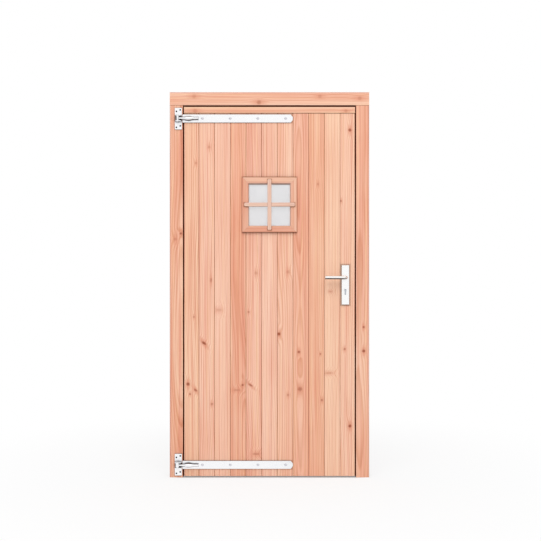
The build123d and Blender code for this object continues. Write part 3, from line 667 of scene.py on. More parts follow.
@dataclass(frozen=True)
class ZincFinish:
    """Hot-dip zinc on steel: pale spangles, soft stains and fine scratches, with a painted dark reflection on
    level faces.
    """

    name: str = "galvanised_zinc"
    shade: HingeShade = HingeShade.PLAIN
    spangle: float = 170.0
    ear_half: float = 0.0126
    ear_edge: float = 0.001
    housing_places: Triple = (0.078, 0.104, 0.131)
    housing_halves: Triple = (0.0089, 0.012, 0.007)
    housing_line: float = 0.0045
    housing_edge: Pair = (-0.0014, -0.0003)
    housing_end: Pair = (0.158, 0.164)

    DULL = paint(243, 244, 248)
    BRIGHT = paint(255, 255, 255)
    # Painted shade: level faces darkened as a dark reflection, the hollow between the ears, and the line
    # around the housing.
    LEVEL_SHADE = (0.2, 0.205, 0.22)
    HOLLOW_SHADE = (0.16, 0.155, 0.16)
    HOUSING_SHADE = (0.3, 0.3, 0.32)
    LEVEL_BAND = (0.5, 0.95)
    STAINS = 26.0
    SCRATCHES = (40.0, 900.0, 1400.0)
    # The middle tone, and how much spangles, stains and scratches change it.
    TONE = 0.55
    TONE_SHARES = (0.22, 0.5, 0.25)
    # The least roughness, and how much spangles and scratches add to it.
    ROUGH = 0.26
    ROUGH_SHARES = (0.1, 0.12)
    RELIEF = 0.12
    RELIEF_HEIGHT = 0.0003

    def off_middle(self, sketch: NodeSketch, height: Socket) -> Socket:
        """Gives each point's distance above or below the middle of its own hinge."""
        return sketch.math("MINIMUM", *(sketch.off(height, middle) for middle in HINGE_HEIGHTS))

    def with_painted_shade(self, sketch: NodeSketch, place: Socket, colour: Socket) -> Socket:
        """Paints a dark reflection on the faces that look up or down, and painted shade in the hollow or
        along the line of this piece.

        Args:
            sketch: The material's tree.
            place: Each point's place in the door's frame.
            colour: The zinc's colour before its painted shade.
        Returns:
            The colour with its painted shade.
        """
        upward = sketch.split(sketch.normal())[2]
        level = sketch.ease(sketch.math("ABSOLUTE", upward), *self.LEVEL_BAND)
        colour = sketch.shaded(level, colour, self.LEVEL_SHADE)
        x, _, z = sketch.split(place)
        off = self.off_middle(sketch, z)
        if self.shade is HingeShade.BETWEEN_EARS:
            hollow = sketch.fade(off, self.ear_half - self.ear_edge, self.ear_half)
            return sketch.shaded(hollow, colour, self.HOLLOW_SHADE)
        if self.shade is HingeShade.AROUND_HOUSING:
            return sketch.shaded(self.housing(sketch, x, off), colour, self.HOUSING_SHADE)
        return colour

    def housing(self, sketch: NodeSketch, x: Socket, off: Socket) -> Socket:
        """Draws the painted shadow line along both sides of the strap's pressed housing.

        Args:
            sketch: The material's tree.
            x: Each point's place across the door.
            off: Its distance from the hinge's middle.
        Returns:
            How much of the line shows.
        """
        mouth, belly, neck = self.housing_places
        mouth_half, belly_half, neck_half = self.housing_halves
        swell = sketch.math("SUBTRACT", sketch.ease(x, mouth, belly, mouth_half, belly_half),
                            sketch.ease(x, belly, neck, 0.0, belly_half - neck_half))
        outside = sketch.math("SUBTRACT", off, swell)
        line = sketch.math("MULTIPLY", sketch.fade(outside, 0.0, self.housing_line),
                           sketch.ease(outside, *self.housing_edge))
        return sketch.math("MULTIPLY", line, sketch.fade(x, *self.housing_end))

    def material(self) -> Material:
        """Builds the finish."""
        material, sketch, shader = new_material(self.name)
        place = sketch.object_place()
        cells = sketch.add("ShaderNodeTexVoronoi", {"Vector": place, "Scale": self.spangle})
        cell = sketch.split(cells.outputs["Color"])[0]
        stain = sketch.cloud(place, self.STAINS, 3.0)
        scratch = sketch.cloud(sketch.vector("MULTIPLY", place, self.SCRATCHES), detail=1.0)
        cell_share, stain_share, scratch_share = self.TONE_SHARES
        tone = sketch.math("MULTIPLY_ADD", sketch.math("SUBTRACT", cell, 0.5), cell_share, self.TONE)
        tone = sketch.math("MULTIPLY_ADD", stain, stain_share, tone)
        tone = sketch.math("MULTIPLY_ADD", scratch, scratch_share, tone, clamp=True)
        colour = sketch.blend(tone, self.DULL, self.BRIGHT)
        rough = sketch.math("MULTIPLY_ADD", cell, self.ROUGH_SHARES[0], self.ROUGH)
        rough = sketch.math("MULTIPLY_ADD", scratch, self.ROUGH_SHARES[1], rough)
        height = sketch.math("ADD", stain, scratch)
        sketch.set_inputs(shader, {"Base Color": self.with_painted_shade(sketch, place, colour), "Metallic": 1.0,
                                   "Roughness": rough,
                                   "Normal": sketch.relief(height, self.RELIEF, self.RELIEF_HEIGHT)})
        return material


class PaintedShade(Enum):
    """Where a metal piece gets painted shade: nowhere, on its underside, or in a fork around its keyway."""

    NONE = "none"
    UNDERSIDE = "underside"
    KEYWAY = "keyway"


@dataclass(frozen=True)
class BrushedFinish:
    """Brushed metal: fine lines along one way, soft stains, a satin gloss and painted shade where set."""

    name: str
    dark: Triple
    pale: Triple
    lines: Triple = (600.0, 600.0, 600.0)
    rough: float = 0.3
    painted_shade: PaintedShade = PaintedShade.NONE
    painted_shade_tint: Triple = (0.26, 0.235, 0.225)
    keyway: Pair = (0.0, 0.0)

    STAINS = 34.0
    LINE_SHARE = 0.7
    STAIN_SHARE = 0.5
    ROUGH_SHARE = 0.14
    # Painted shade: a dark reflection where the underside turns down, and a fork around the keyway.
    UNDERSIDE_BAND = (-0.55, -0.05)
    KEYWAY_BAND = (0.0022, 0.0036)
    KEYWAY_SPREAD = -0.45
    RELIEF = 0.1
    RELIEF_HEIGHT = 0.0002

    def painted_shade_share(self, sketch: NodeSketch, place: Socket) -> Feed:
        """Says how much painted shade each point gets.

        Args:
            sketch: The material's tree.
            place: Each point's place in the door's frame.
        Returns:
            The share, from 0 to 1.
        """
        if self.painted_shade is PaintedShade.UNDERSIDE:
            upward = sketch.split(sketch.normal())[2]
            return sketch.fade(upward, *self.UNDERSIDE_BAND)
        if self.painted_shade is PaintedShade.KEYWAY:
            x, _, z = sketch.split(place)
            beside = sketch.off(x, self.keyway[0])
            above = sketch.math("MAXIMUM", sketch.math("SUBTRACT", z, self.keyway[1]), 0.0)
            outside = sketch.math("MULTIPLY_ADD", above, self.KEYWAY_SPREAD, beside)
            return sketch.fade(outside, *self.KEYWAY_BAND)
        return 0.0

    def material(self) -> Material:
        """Builds the finish."""
        material, sketch, shader = new_material(self.name)
        place = sketch.object_place()
        brush = sketch.cloud(sketch.vector("MULTIPLY", place, self.lines))
        stain = sketch.cloud(place, self.STAINS)
        tone = sketch.math("MULTIPLY_ADD", brush, self.LINE_SHARE, 0.5)
        tone = sketch.math("MULTIPLY_ADD", stain, self.STAIN_SHARE, tone, clamp=True)
        colour = sketch.blend(tone, paint(*self.dark), paint(*self.pale))
        colour = sketch.shaded(self.painted_shade_share(sketch, place), colour, self.painted_shade_tint)
        rough = sketch.math("MULTIPLY_ADD", brush, self.ROUGH_SHARE, self.rough)
        sketch.set_inputs(shader, {"Base Color": colour, "Metallic": 1.0, "Roughness": rough,
                                   "Normal": sketch.relief(brush, self.RELIEF, self.RELIEF_HEIGHT)})
        return material


@dataclass(frozen=True)
class SatinGlassFinish:
    """Pale satin glass that lets light through and shows no view."""

    name: str = "satin_glass"
    # The widths of the painted shadow below the casing's head and of the cream band along the sides.
    head_shadow: float = 0.0075
    side_band: float = 0.004

    CLOUDY = paint(228, 229, 231)
    CLEAR = paint(240, 239, 240)
    # The cream band along the sides and the painted shadow below the casing's head, with their strengths.
    SIDE_BAND_TONE = paint(240, 229, 220)
    HEAD_SHADOW = paint(162, 143, 132)
    BORDER_STRENGTHS = (0.6, 0.9)
    # The part of the head's painted shadow that is fully dark.
    HEAD_SHADOW_CORE = 0.6
    HAZE = 14.0
    HAZE_SHARE = 0.9
    GRIT = 900.0
    LET_THROUGH = 0.85
    ROUGH = 0.37
    ROUGH_SHARE = 0.12
    RELIEF = 0.04
    RELIEF_HEIGHT = 0.0001

    def material(self) -> Material:
        """Builds the finish, with a painted shadow below the casing's head and a pale cream band along the
        sides.
        """
        material, sketch, shader = new_material(self.name)
        place = sketch.object_place()
        haze = sketch.cloud(place, self.HAZE, 3.0)
        tone = sketch.math("MULTIPLY_ADD", haze, self.HAZE_SHARE, 0.5, clamp=True)
        colour = sketch.blend(tone, self.CLOUDY, self.CLEAR)
        x, _, z = sketch.split(place)
        beside = sketch.math("SUBTRACT", PANE_HALF[0], sketch.off(x, WINDOW_MIDDLE[0]))
        below = sketch.math("SUBTRACT", WINDOW_MIDDLE[1] + PANE_HALF[1], z)
        side = sketch.fade(beside, 0.0, self.side_band, self.BORDER_STRENGTHS[0])
        head = sketch.fade(below, self.HEAD_SHADOW_CORE * self.head_shadow, self.head_shadow, self.BORDER_STRENGTHS[1])
        colour = sketch.blend(side, colour, self.SIDE_BAND_TONE)
        colour = sketch.blend(head, colour, self.HEAD_SHADOW)
        rough = sketch.math("MULTIPLY_ADD", haze, self.ROUGH_SHARE, self.ROUGH)
        grit = sketch.cloud(place, self.GRIT, 1.0)
        sketch.set_inputs(shader, {"Base Color": colour, "Roughness": rough,
                                   "Transmission Weight": self.LET_THROUGH,
                                   "Normal": sketch.relief(grit, self.RELIEF, self.RELIEF_HEIGHT)})
        return material


def dress(nodes: Sequence[str], material: Material) -> None:
    """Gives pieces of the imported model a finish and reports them.

    Args:
        nodes: The pieces' names.
        material: The finish.
    """
    for name in nodes:
        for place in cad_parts[name].material_slots:
            place.link = "OBJECT"
            place.material = material
        LOG.info("dressed %s in %s", name, material.name)


class RingForm(Enum):
    """The outline of a turned or pressed ring: round, six-sided or a six-lobed star."""

    ROUND = "round"
    HEXAGON = "hexagon"
    STAR = "star"


@dataclass(frozen=True)
class Ring:
    """One ring of a fastener's head, in millimetres above its seat."""

    radius: float
    height: float
    form: RingForm = RingForm.ROUND

    LOBE = 0.17

    def reach(self, angle: float) -> float:
        """Gives the ring's radius at an angle, in metres."""
        reach = self.radius * MM
        if self.form is RingForm.HEXAGON:
            sixth = math.pi / 3
            reach *= math.cos(sixth / 2) / math.cos(angle % sixth - sixth / 2)
        if self.form is RingForm.STAR:
            reach *= 1 + self.LOBE * math.cos(6 * angle)
        return reach


@dataclass(frozen=True)
class HeadShape:
    """A fastener's head as rings from its seat up, over its outside and down into its recess."""

    name: str
    rings: Tuple[Ring, ...]
    steps: int = 36
    sharp: float = 32.0

    def loop(self, shell: bmesh.types.BMesh, ring: Ring) -> List[bmesh.types.BMVert]:
        """Adds the points of one ring.

        Args:
            shell: The head's mesh.
            ring: The ring.
        Returns:
            The points in order.
        """
        points = []
        for step in range(self.steps):
            angle = 2 * math.pi * step / self.steps
            reach = ring.reach(angle)
            place = (reach * math.cos(angle), reach * math.sin(angle), ring.height * MM)
            points.append(shell.verts.new(place))
        return points

    def template(self) -> bpy.types.Object:
        """Builds the head once, upright at the origin."""
        shell = bmesh.new()
        loops = [self.loop(shell, ring) for ring in self.rings]
        for low, high in zip(loops, loops[1:]):
            for step in range(self.steps):
                after = (step + 1) % self.steps
                shell.faces.new((low[step], low[after], high[after], high[step]))
        shell.faces.new(list(reversed(loops[0])))
        shell.faces.new(loops[-1])
        bmesh.ops.recalc_face_normals(shell, faces=shell.faces)
        mesh = bpy.data.meshes.new(self.name)
        shell.to_mesh(mesh)
        shell.free()
        mesh.shade_smooth()
        mesh.set_sharp_from_angle(angle=math.radians(self.sharp))
        return new_object(self.name, mesh)


class Heads(Enum):
    """The heads of the door's fasteners."""

    DOMED_BOLT = HeadShape("domed_bolt", (
        Ring(7.5, -0.1), Ring(7.5, 0.6), Ring(7.1, 1.2), Ring(6.2, 1.8), Ring(4.7, 2.4), Ring(2.7, 2.8),
        Ring(0.9, 2.95)))
    NUT = HeadShape("nut", (
        Ring(9.0, -0.1), Ring(9.0, 1.3), Ring(8.7, 1.6), Ring(7.5, 1.6, RingForm.HEXAGON),
        Ring(7.5, 7.2, RingForm.HEXAGON), Ring(6.3, 8.0), Ring(4.1, 8.0), Ring(4.1, 10.2), Ring(3.4, 10.9)))
    RAISED_SCREW = HeadShape("raised_screw", (
        Ring(4.5, -0.2), Ring(4.5, 0.35), Ring(4.1, 0.9), Ring(3.3, 1.3), Ring(2.1, 1.45, RingForm.STAR),
        Ring(1.7, 0.25, RingForm.STAR)))
    FLUSH_SCREW = HeadShape("flush_screw", (
        Ring(4.6, -0.2), Ring(4.6, 0.4), Ring(4.3, 0.6), Ring(2.2, 0.6, RingForm.STAR),
        Ring(1.8, 0.1, RingForm.STAR)))
    SUNK_SCREW = HeadShape("sunk_screw", (
        Ring(3.1, 0.1), Ring(3.9, 2.2), Ring(3.8, 2.3), Ring(2.3, 2.3, RingForm.STAR),
        Ring(1.7, 0.5, RingForm.STAR)))
    PLUG_RIM = HeadShape("plug_rim", (
        Ring(6.4, -0.1), Ring(6.4, 0.15), Ring(6.2, 0.3), Ring(5.9, 0.3), Ring(5.7, 0.05)))


class Facing(Enum):
    """Where a fastener's head faces, as turns about the three axes."""

    FRONT = (math.pi / 2, 0.0, 0.0)
    BACK = (-math.pi / 2, 0.0, 0.0)
    LOCK_SIDE = (0.0, math.pi / 2, 0.0)
    HINGE_SIDE = (0.0, -math.pi / 2, 0.0)
    UP = (0.0, 0.0, 0.0)
    DOWN = (math.pi, 0.0, 0.0)


class FastenerTree:
    """The geometry node tree that sets one head at each place of a row of rows."""

    NAME = "fastener_rows"
    SOCKETS = (("Head", "NodeSocketObject"), ("Start", "NodeSocketVector"), ("Count", "NodeSocketInt"),
               ("Step", "NodeSocketVector"), ("Rows", "NodeSocketInt"), ("Row Step", "NodeSocketVector"),
               ("Facing", "NodeSocketVector"), ("Seed", "NodeSocketInt"), ("Finish", "NodeSocketMaterial"))

    @classmethod
    def tree(cls) -> bpy.types.NodeTree:
        """Gives the tree, built on first use."""
        if cls.NAME in bpy.data.node_groups:
            return bpy.data.node_groups[cls.NAME]
        tree = bpy.data.node_groups.new(cls.NAME, "GeometryNodeTree")
        for name, kind in cls.SOCKETS:
            tree.interface.new_socket(name=name, in_out="INPUT", socket_type=kind)
        tree.interface.new_socket(name="Fasteners", in_out="OUTPUT", socket_type="NodeSocketGeometry")
        sketch = NodeSketch(tree)
        given = sketch.add("NodeGroupInput").outputs
        line = {"Count": given["Count"], "Start Location": given["Start"], "Offset": given["Step"]}
        row = sketch.add("GeometryNodeMeshLine", line, mode="OFFSET")
        line = {"Count": given["Rows"], "Offset": given["Row Step"]}
        rows = sketch.add("GeometryNodeMeshLine", line, mode="OFFSET")
        spread = sketch.add("GeometryNodeInstanceOnPoints",
                            {"Points": row.outputs[0], "Instance": rows.outputs[0]})
        places = sketch.add("GeometryNodeRealizeInstances", {0: spread.outputs[0]})
        head = sketch.add("GeometryNodeObjectInfo", {"Object": given["Head"]}, transform_space="ORIGINAL")
        facing = sketch.add("FunctionNodeEulerToRotation", {0: given["Facing"]})
        heads = sketch.add("GeometryNodeInstanceOnPoints",
                           {"Points": places.outputs[0], "Instance": head.outputs["Geometry"],
                            "Rotation": facing.outputs[0]})
        turns = {2: 0.0, 3: 2 * math.pi, "Seed": given["Seed"]}
        spin = sketch.add("FunctionNodeRandomValue", turns, data_type="FLOAT")
        turn = sketch.add("FunctionNodeEulerToRotation", {0: sketch.join(0.0, 0.0, spin.outputs[1])})
        spun = sketch.add("GeometryNodeRotateInstances",
                          {"Instances": heads.outputs[0], "Rotation": turn.outputs[0]})
        whole = sketch.add("GeometryNodeRealizeInstances", {0: spun.outputs[0]})
        finish = sketch.add("GeometryNodeSetMaterial",
                            {"Geometry": whole.outputs[0], "Material": given["Finish"]})
        sketch.add("NodeGroupOutput", {0: finish.outputs[0]})
        return tree


@dataclass(frozen=True)
class FastenerRows:
    """Fasteners of one kind, evenly spaced in rows, in metres."""

    name: str
    head: Heads
    facing: Facing
    start: Triple
    count: int = 1
    step: Triple = (0.0, 0.0, 0.0)
    rows: int = 1
    row_step: Triple = (0.0, 0.0, 0.0)
    seed: int = 1

    def make(self, body: str, finish: Material) -> None:
        """Builds the fasteners as one plain mesh on a body.

        Args:
            body: The body that they move with.
            finish: Their material.
        """
        head = self.head.value.template()
        carrier = new_object(self.name + "_rows", bpy.data.meshes.new(self.name + "_rows"))
        rows = carrier.modifiers.new("rows", "NODES")
        rows.node_group = FastenerTree.tree()
        settings = {"Head": head, "Start": self.start, "Count": self.count, "Step": self.step,
                    "Rows": self.rows, "Row Step": self.row_step, "Facing": self.facing.value,
                    "Seed": self.seed, "Finish": finish}
        for socket in rows.node_group.interface.items_tree:
            if socket.in_out == "INPUT":
                rows[socket.identifier] = settings[socket.name]
        scene_state = bpy.context.evaluated_depsgraph_get()
        mesh = bpy.data.meshes.new_from_object(carrier.evaluated_get(scene_state))
        mesh.name = self.name
        for spent in (carrier, head):
            spent_mesh = spent.data
            bpy.data.objects.remove(spent)
            bpy.data.meshes.remove(spent_mesh)
        piece = new_object(self.name, mesh)
        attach(piece, body)
        LOG.info("made %s: %d faces on %s", self.name, len(mesh.polygons), body)


class SubAssembly:
    """One sub-assembly of the door, which dresses its pieces and sets its fasteners."""

    def finish(self) -> None:
        """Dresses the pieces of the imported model."""
        raise NotImplementedError

    def fasten(self) -> None:
        """Sets the fasteners, where the sub-assembly has any."""

    def build(self) -> None:
        """Does the whole work and reports it."""
        self.finish()
        self.fasten()
        LOG.info("finished %s", type(self).__name__)


@dataclass
class DoorFrame(SubAssembly):
    """Jambs, head, stops and threshold, with the screws of the stops."""

    screw: Material
    timber_half: float = 0.037
    stop_middle: float = 0.022
    stop_reach: float = 0.094
    head_stop_low: float = 2.031
    threshold_top: float = 0.022
    first_upright_screw: float = 0.13
    upright_pitch: float = 0.3
    upright_screws: int = 7
    first_level_screw: float = 0.19
    level_pitch: float = 0.24
    level_screws: int = 4

    def timbers(self) -> Dict[str, FirFinish]:
        """Gives the fir of the jambs and the head, by the piece's name."""
        half = self.timber_half
        edges = (-half, half)
        # Each timber's gap edge gets painted shade and its wall edge a grey line; the hinge jamb gets a
        # painted shadow around the plates.
        return {
            "hinge_jamb": FirFinish(
                "fir_hinge_jamb", 0.66, -0.2, centre=(half, FRAME_FACE, 0.0), pith=(0.03, 0.05), ring=0.0085,
                figure=1.3, seed=5.41, edges=edges, edge_kinds=(Edge.WALL, Edge.GAP),
                seats=(Seats.UPPER_PLATE.value, Seats.LOWER_PLATE.value),
                knots=(Knot(0.061, 1.345, 0.006, 0.8), Knot(0.03, 1.314, 0.008, 0.35))),
            "lock_jamb": FirFinish(
                "fir_lock_jamb", 0.71, centre=(FRAME_WIDTH - half, FRAME_FACE, 0.0), pith=(-0.005, 0.05),
                ring=0.0075, figure=1.7, seed=10.71, push=0.5, edges=edges, edge_kinds=(Edge.GAP, Edge.WALL),
                knots=(Knot(1.07, 0.829, 0.006, 0.75), Knot(1.07, 0.697, 0.008, 0.9))),
            "frame_head": FirFinish(
                "fir_head", 0.4, 0.1, Grain.LEVEL, centre=(DOOR_MIDDLE, FRAME_FACE, FRAME_HEIGHT - half),
                pith=(0.12, 0.03), wander=0.025, ring=0.0085, figure=1.2, seed=14.94, push=0.6, edges=edges,
                edge_kinds=(Edge.WALL, Edge.GAP),
                knots=(Knot(0.492, 2.069, 0.011, 0.5), Knot(0.134, 2.102, 0.01, 0.3),
                       Knot(0.828, 2.102, 0.009, 0.28), Knot(1.048, 2.091, 0.01, 0.32))),
        }

    def finish(self) -> None:
        """Gives each timber its own fir."""
        for node, timber in self.timbers().items():
            dress([node], timber.material())
        stops = FirFinish("fir_side_stops", 0.5, pith=(0.12, 0.0), ring=0.004, seed=2.2)
        dress(["hinge_side_stop", "lock_side_stop"], stops.material())
        level = FirFinish("fir_head_stop", 0.5, grain=Grain.LEVEL, pith=(0.1, 0.02), ring=0.004, seed=6.3)
        dress(["head_stop", "threshold"], level.material())

    def fasten(self) -> None:
        """Sets the stops' and the threshold's screws."""
        upright = (self.upright_screws, (0.0, 0.0, self.upright_pitch))
        level = (self.level_screws, (self.level_pitch, 0.0, 0.0))
        lock_side = FRAME_WIDTH - self.stop_reach
        low = self.first_upright_screw
        left = self.first_level_screw
        deep = self.stop_middle
        rows = (
            ("hinge_stop_screws", Facing.LOCK_SIDE, (self.stop_reach, deep, low), upright),
            ("lock_stop_screws", Facing.HINGE_SIDE, (lock_side, deep, low), upright),
            ("head_stop_screws", Facing.DOWN, (left, deep, self.head_stop_low), level),
            ("threshold_screws", Facing.UP, (left, deep, self.threshold_top), level),
        )
        for seed, (name, facing, start, spacing) in enumerate(rows, start=1):
            screws = FastenerRows(name, Heads.FLUSH_SCREW, facing, start, *spacing, seed=seed)
            screws.make("frame", self.screw)


@dataclass
class BoardedLeaf(SubAssembly):
    """The eleven matched boards and the strip over their top ends."""

    seated: Tuple[Seats, ...] = (Seats.CASING, Seats.UPPER_STRAP, Seats.LOWER_STRAP, Seats.BACKPLATE,
                                 Seats.TOP_STRIP)

    def joints(self) -> List[float]:
        """Gives the leaf's edges and the joints between the boards, from the hinge side on."""
        first = DOOR_MIDDLE - BOARD_COVER * (BOARD_JOINTS - 1) / 2
        inner = [first + BOARD_COVER * step for step in range(BOARD_JOINTS)]
        return [DOOR_MIDDLE - LEAF_HALF] + inner + [DOOR_MIDDLE + LEAF_HALF]

    def firs(self) -> Tuple[FirFinish, ...]:
        """Gives each board its own fir, from the hinge side on."""
        return (
            FirFinish("fir_board_01", 0.43, -0.3, pith=(0.09, 0.03), ring=0.0082, seed=1.3, knots=(
                Knot(0.145, 1.733, 0.006, 0.3), Knot(0.134, 0.885, 0.005, 0.4),
                Knot(0.101, 0.515, 0.009, 0.85), Knot(0.143, 0.482, 0.008, 0.7, 0.5),
                Knot(0.112, 0.46, 0.005, 0.65))),
            FirFinish("fir_board_02", 0.22, 0.4, pith=(-0.1, 0.03), ring=0.0088, figure=1.2, seed=4.9,
                      streaks=0.7, knots=(
                Knot(0.217, 1.821, 0.007, 0.3), Knot(0.228, 1.088, 0.005, 0.5, 0.0, 2.2),
                Knot(0.189, 0.741, 0.009, 0.9, 0.7), Knot(0.233, 0.405, 0.006, 0.5))),
            FirFinish("fir_board_03", 0.22, 0.4, pith=(0.13, 0.01), ring=0.0078, figure=0.7, seed=21.56,
                      streaks=0.5, knots=(
                Knot(0.272, 0.923, 0.016, 0.22, 0.0, 0.4),)),
            FirFinish("fir_board_04", 0.72, pith=(0.012, 0.055), wander=0.06, ring=0.0058, figure=1.2,
                      seed=16.46, push=0.45, knots=(
                Knot(0.402, 0.51, 0.006, 0.8), Knot(0.372, 0.482, 0.018, 0.35, 0.0, 0.25))),
            FirFinish("fir_board_05", 0.35, 0.5, pith=(-0.08, 0.04), ring=0.0086, figure=1.3, seed=18.44,
                      streaks=0.7, knots=(
                Knot(0.476, 1.127, 0.008, 0.3), Knot(0.435, 0.912, 0.005, 0.5),
                Knot(0.445, 0.51, 0.008, 0.7, 0.9), Knot(0.476, 0.13, 0.018, 0.4, 0.0, 0.3))),
            FirFinish("fir_board_06", 0.19, 0.5, pith=(0.1, 0.03), ring=0.0084, figure=0.8, seed=3.8,
                      streaks=0.5),
            FirFinish("fir_board_07", 0.31, 0.2, pith=(-0.06, 0.06), ring=0.0088, seed=25.08, knots=(
                Knot(0.602, 0.791, 0.0085, 0.9), Knot(0.652, 1.133, 0.008, 0.3),
                Knot(0.652, 0.455, 0.006, 0.4))),
            FirFinish("fir_board_08", 0.75, 0.2, pith=(-0.01, 0.05), ring=0.0056, figure=1.6, seed=21.47,
                      push=0.45, streaks=0.7, knots=(
                Knot(0.712, 0.692, 0.007, 0.75), Knot(0.718, 0.488, 0.011, 0.6))),
            FirFinish("fir_board_09", 0.58, -0.3, pith=(0.09, 0.03), ring=0.0088, figure=0.9, seed=8.1,
                      streaks=0.5, knots=(
                Knot(0.817, 1.617, 0.006, 0.3), Knot(0.831, 0.681, 0.004, 0.7),
                Knot(0.839, 0.427, 0.006, 0.55))),
            FirFinish("fir_board_10", 0.09, -0.2, pith=(-0.12, 0.02), ring=0.0078, figure=0.65, seed=1.9,
                      streaks=0.42, knots=(
                Knot(0.886, 1.025, 0.01, 0.28, 0.0, 0.35), Knot(0.878, 0.576, 0.02, 0.32, 0.0, 0.22))),
            FirFinish("fir_board_11", 0.27, 0.2, pith=(0.07, 0.05), ring=0.0086, seed=25.68, knots=(
                Knot(0.993, 1.915, 0.008, 0.85), Knot(0.944, 1.524, 0.005, 0.6),
                Knot(0.964, 0.708, 0.006, 0.6), Knot(0.993, 0.284, 0.008, 0.9))),
        )

    def finish(self) -> None:
        """Dresses the boards, each with its own place, edges and seated pieces, and the strip."""
        joints = self.joints()
        outer = (joints[0], joints[-1])
        for number, (left, right, fir) in enumerate(zip(joints, joints[1:], self.firs()), start=1):
            middle = (left + right) / 2
            # Each board gets painted shade at its joints and at the leaf's outer gaps, and painted shadow
            # lines around the pieces that sit on it.
            seats = tuple(seat.value for seat in self.seated if seat.value.reaches(left, right))
            kinds = tuple(Edge.GAP if edge in outer else Edge.JOINT for edge in (left, right))
            board = replace(fir, centre=(middle, LEAF_FACE, 0.0), edges=(left - middle, right - middle),
                            edge_kinds=kinds, seats=seats)
            dress([f"board_{number:02d}"], board.material())
        # The strip gets painted shade along its top edge at the gap and along its joint with the boards.
        strip = FirFinish("fir_top_strip", 0.28, -0.4, Grain.LEVEL,
                          centre=(DOOR_MIDDLE, LEAF_FACE, STRIP_MIDDLE), pith=(0.09, 0.03), wander=0.025,
                          ring=0.005, figure=1.3, seed=4.4, push=0.6, edges=(-STRIP_HALF, STRIP_HALF),
                          edge_kinds=(Edge.GAP, Edge.JOINT),
                          knots=(Knot(0.14, 2.02, 0.011, 0.32), Knot(0.971, 2.02, 0.008, 0.3)))
        dress(["top_strip"], strip.material())


@dataclass
class BackFrame(SubAssembly):
    """Stiles, rails and brace behind the boards, and the screws that hold the boards to them."""

    screw: Material
    stile_middles: Pair = (0.127, 0.97)
    rail_middles: Triple = (0.0565, 1.05, 1.9955)
    rail_seed: float = 3.3
    brace_slope: float = 49.7
    brace_middle: float = 0.55
    rail_screws: int = 9
    row_spread: float = 0.046
    stile_pitch: float = 0.28
    hinge_stile_screw: float = 0.121
    lock_stile_screw: float = 0.98
    low_screw: float = 0.17
    high_screw: float = 1.29

    def finish(self) -> None:
        """Gives stiles, rails and brace their fir."""
        stiles = zip(("hinge_stile", "lock_stile"), self.stile_middles, (0.44, 0.52), (2.9, 6.1))
        for name, middle, depth, seed in stiles:
            knots = (Knot(middle - 0.02, 1.46, 0.009, 0.8), Knot(middle + 0.015, 0.62, 0.007, 0.7))
            timber = FirFinish("fir_" + name, depth, centre=(middle, LEAF_BACK, 0.0), pith=(0.03, -0.05),
                               seed=seed, knots=knots)
            dress([name], timber.material())
        rails = zip(("bottom_rail", "lock_rail", "top_rail"), self.rail_middles, (0.58, 0.4, 0.5))
        for name, height, depth in rails:
            knots = (Knot(0.36, height + 0.02, 0.008, 0.8), Knot(0.74, height - 0.014, 0.006, 0.7))
            timber = FirFinish("fir_" + name, depth, 0.1, Grain.LEVEL,
                               centre=(DOOR_MIDDLE, LEAF_BACK, height), pith=(0.02, -0.06),
                               seed=height * self.rail_seed, knots=knots)
            dress([name], timber.material())
        brace = FirFinish("fir_brace", 0.46, slope=self.brace_slope,
                          centre=(DOOR_MIDDLE, LEAF_BACK, self.brace_middle), pith=(0.03, -0.05), seed=9.5,
                          knots=(Knot(0.46, 0.44, 0.008, 0.8),))
        dress(["brace"], brace.material())

    def fasten(self) -> None:
        """Sets the screws in pairs along the rails and singly up the stiles."""
        second_board = DOOR_MIDDLE - BOARD_COVER * (self.rail_screws - 1) / 2
        for name, middle, seed in zip(("bottom", "middle", "top"), self.rail_middles, (6, 6, 3)):
            start = (second_board, LEAF_BACK, middle - self.row_spread / 2)
            pairs = FastenerRows(name + "_rail_screws", Heads.RAISED_SCREW, Facing.BACK, start,
                                 self.rail_screws, (BOARD_COVER, 0.0, 0.0), 2, (0.0, 0.0, self.row_spread),
                                 seed=seed)
            pairs.make("leaf", self.screw)
        uprights = (("hinge_stile_screws", self.hinge_stile_screw, self.low_screw, 7),
                    ("lock_stile_low_screws", self.lock_stile_screw, self.low_screw, 3),
                    ("lock_stile_high_screws", self.lock_stile_screw, self.high_screw, 3))
        for name, across, height, count in uprights:
            row = FastenerRows(name, Heads.RAISED_SCREW, Facing.BACK, (across, LEAF_BACK, height), count,
                               (0.0, 0.0, self.stile_pitch), seed=count)
            row.make("leaf", self.screw)


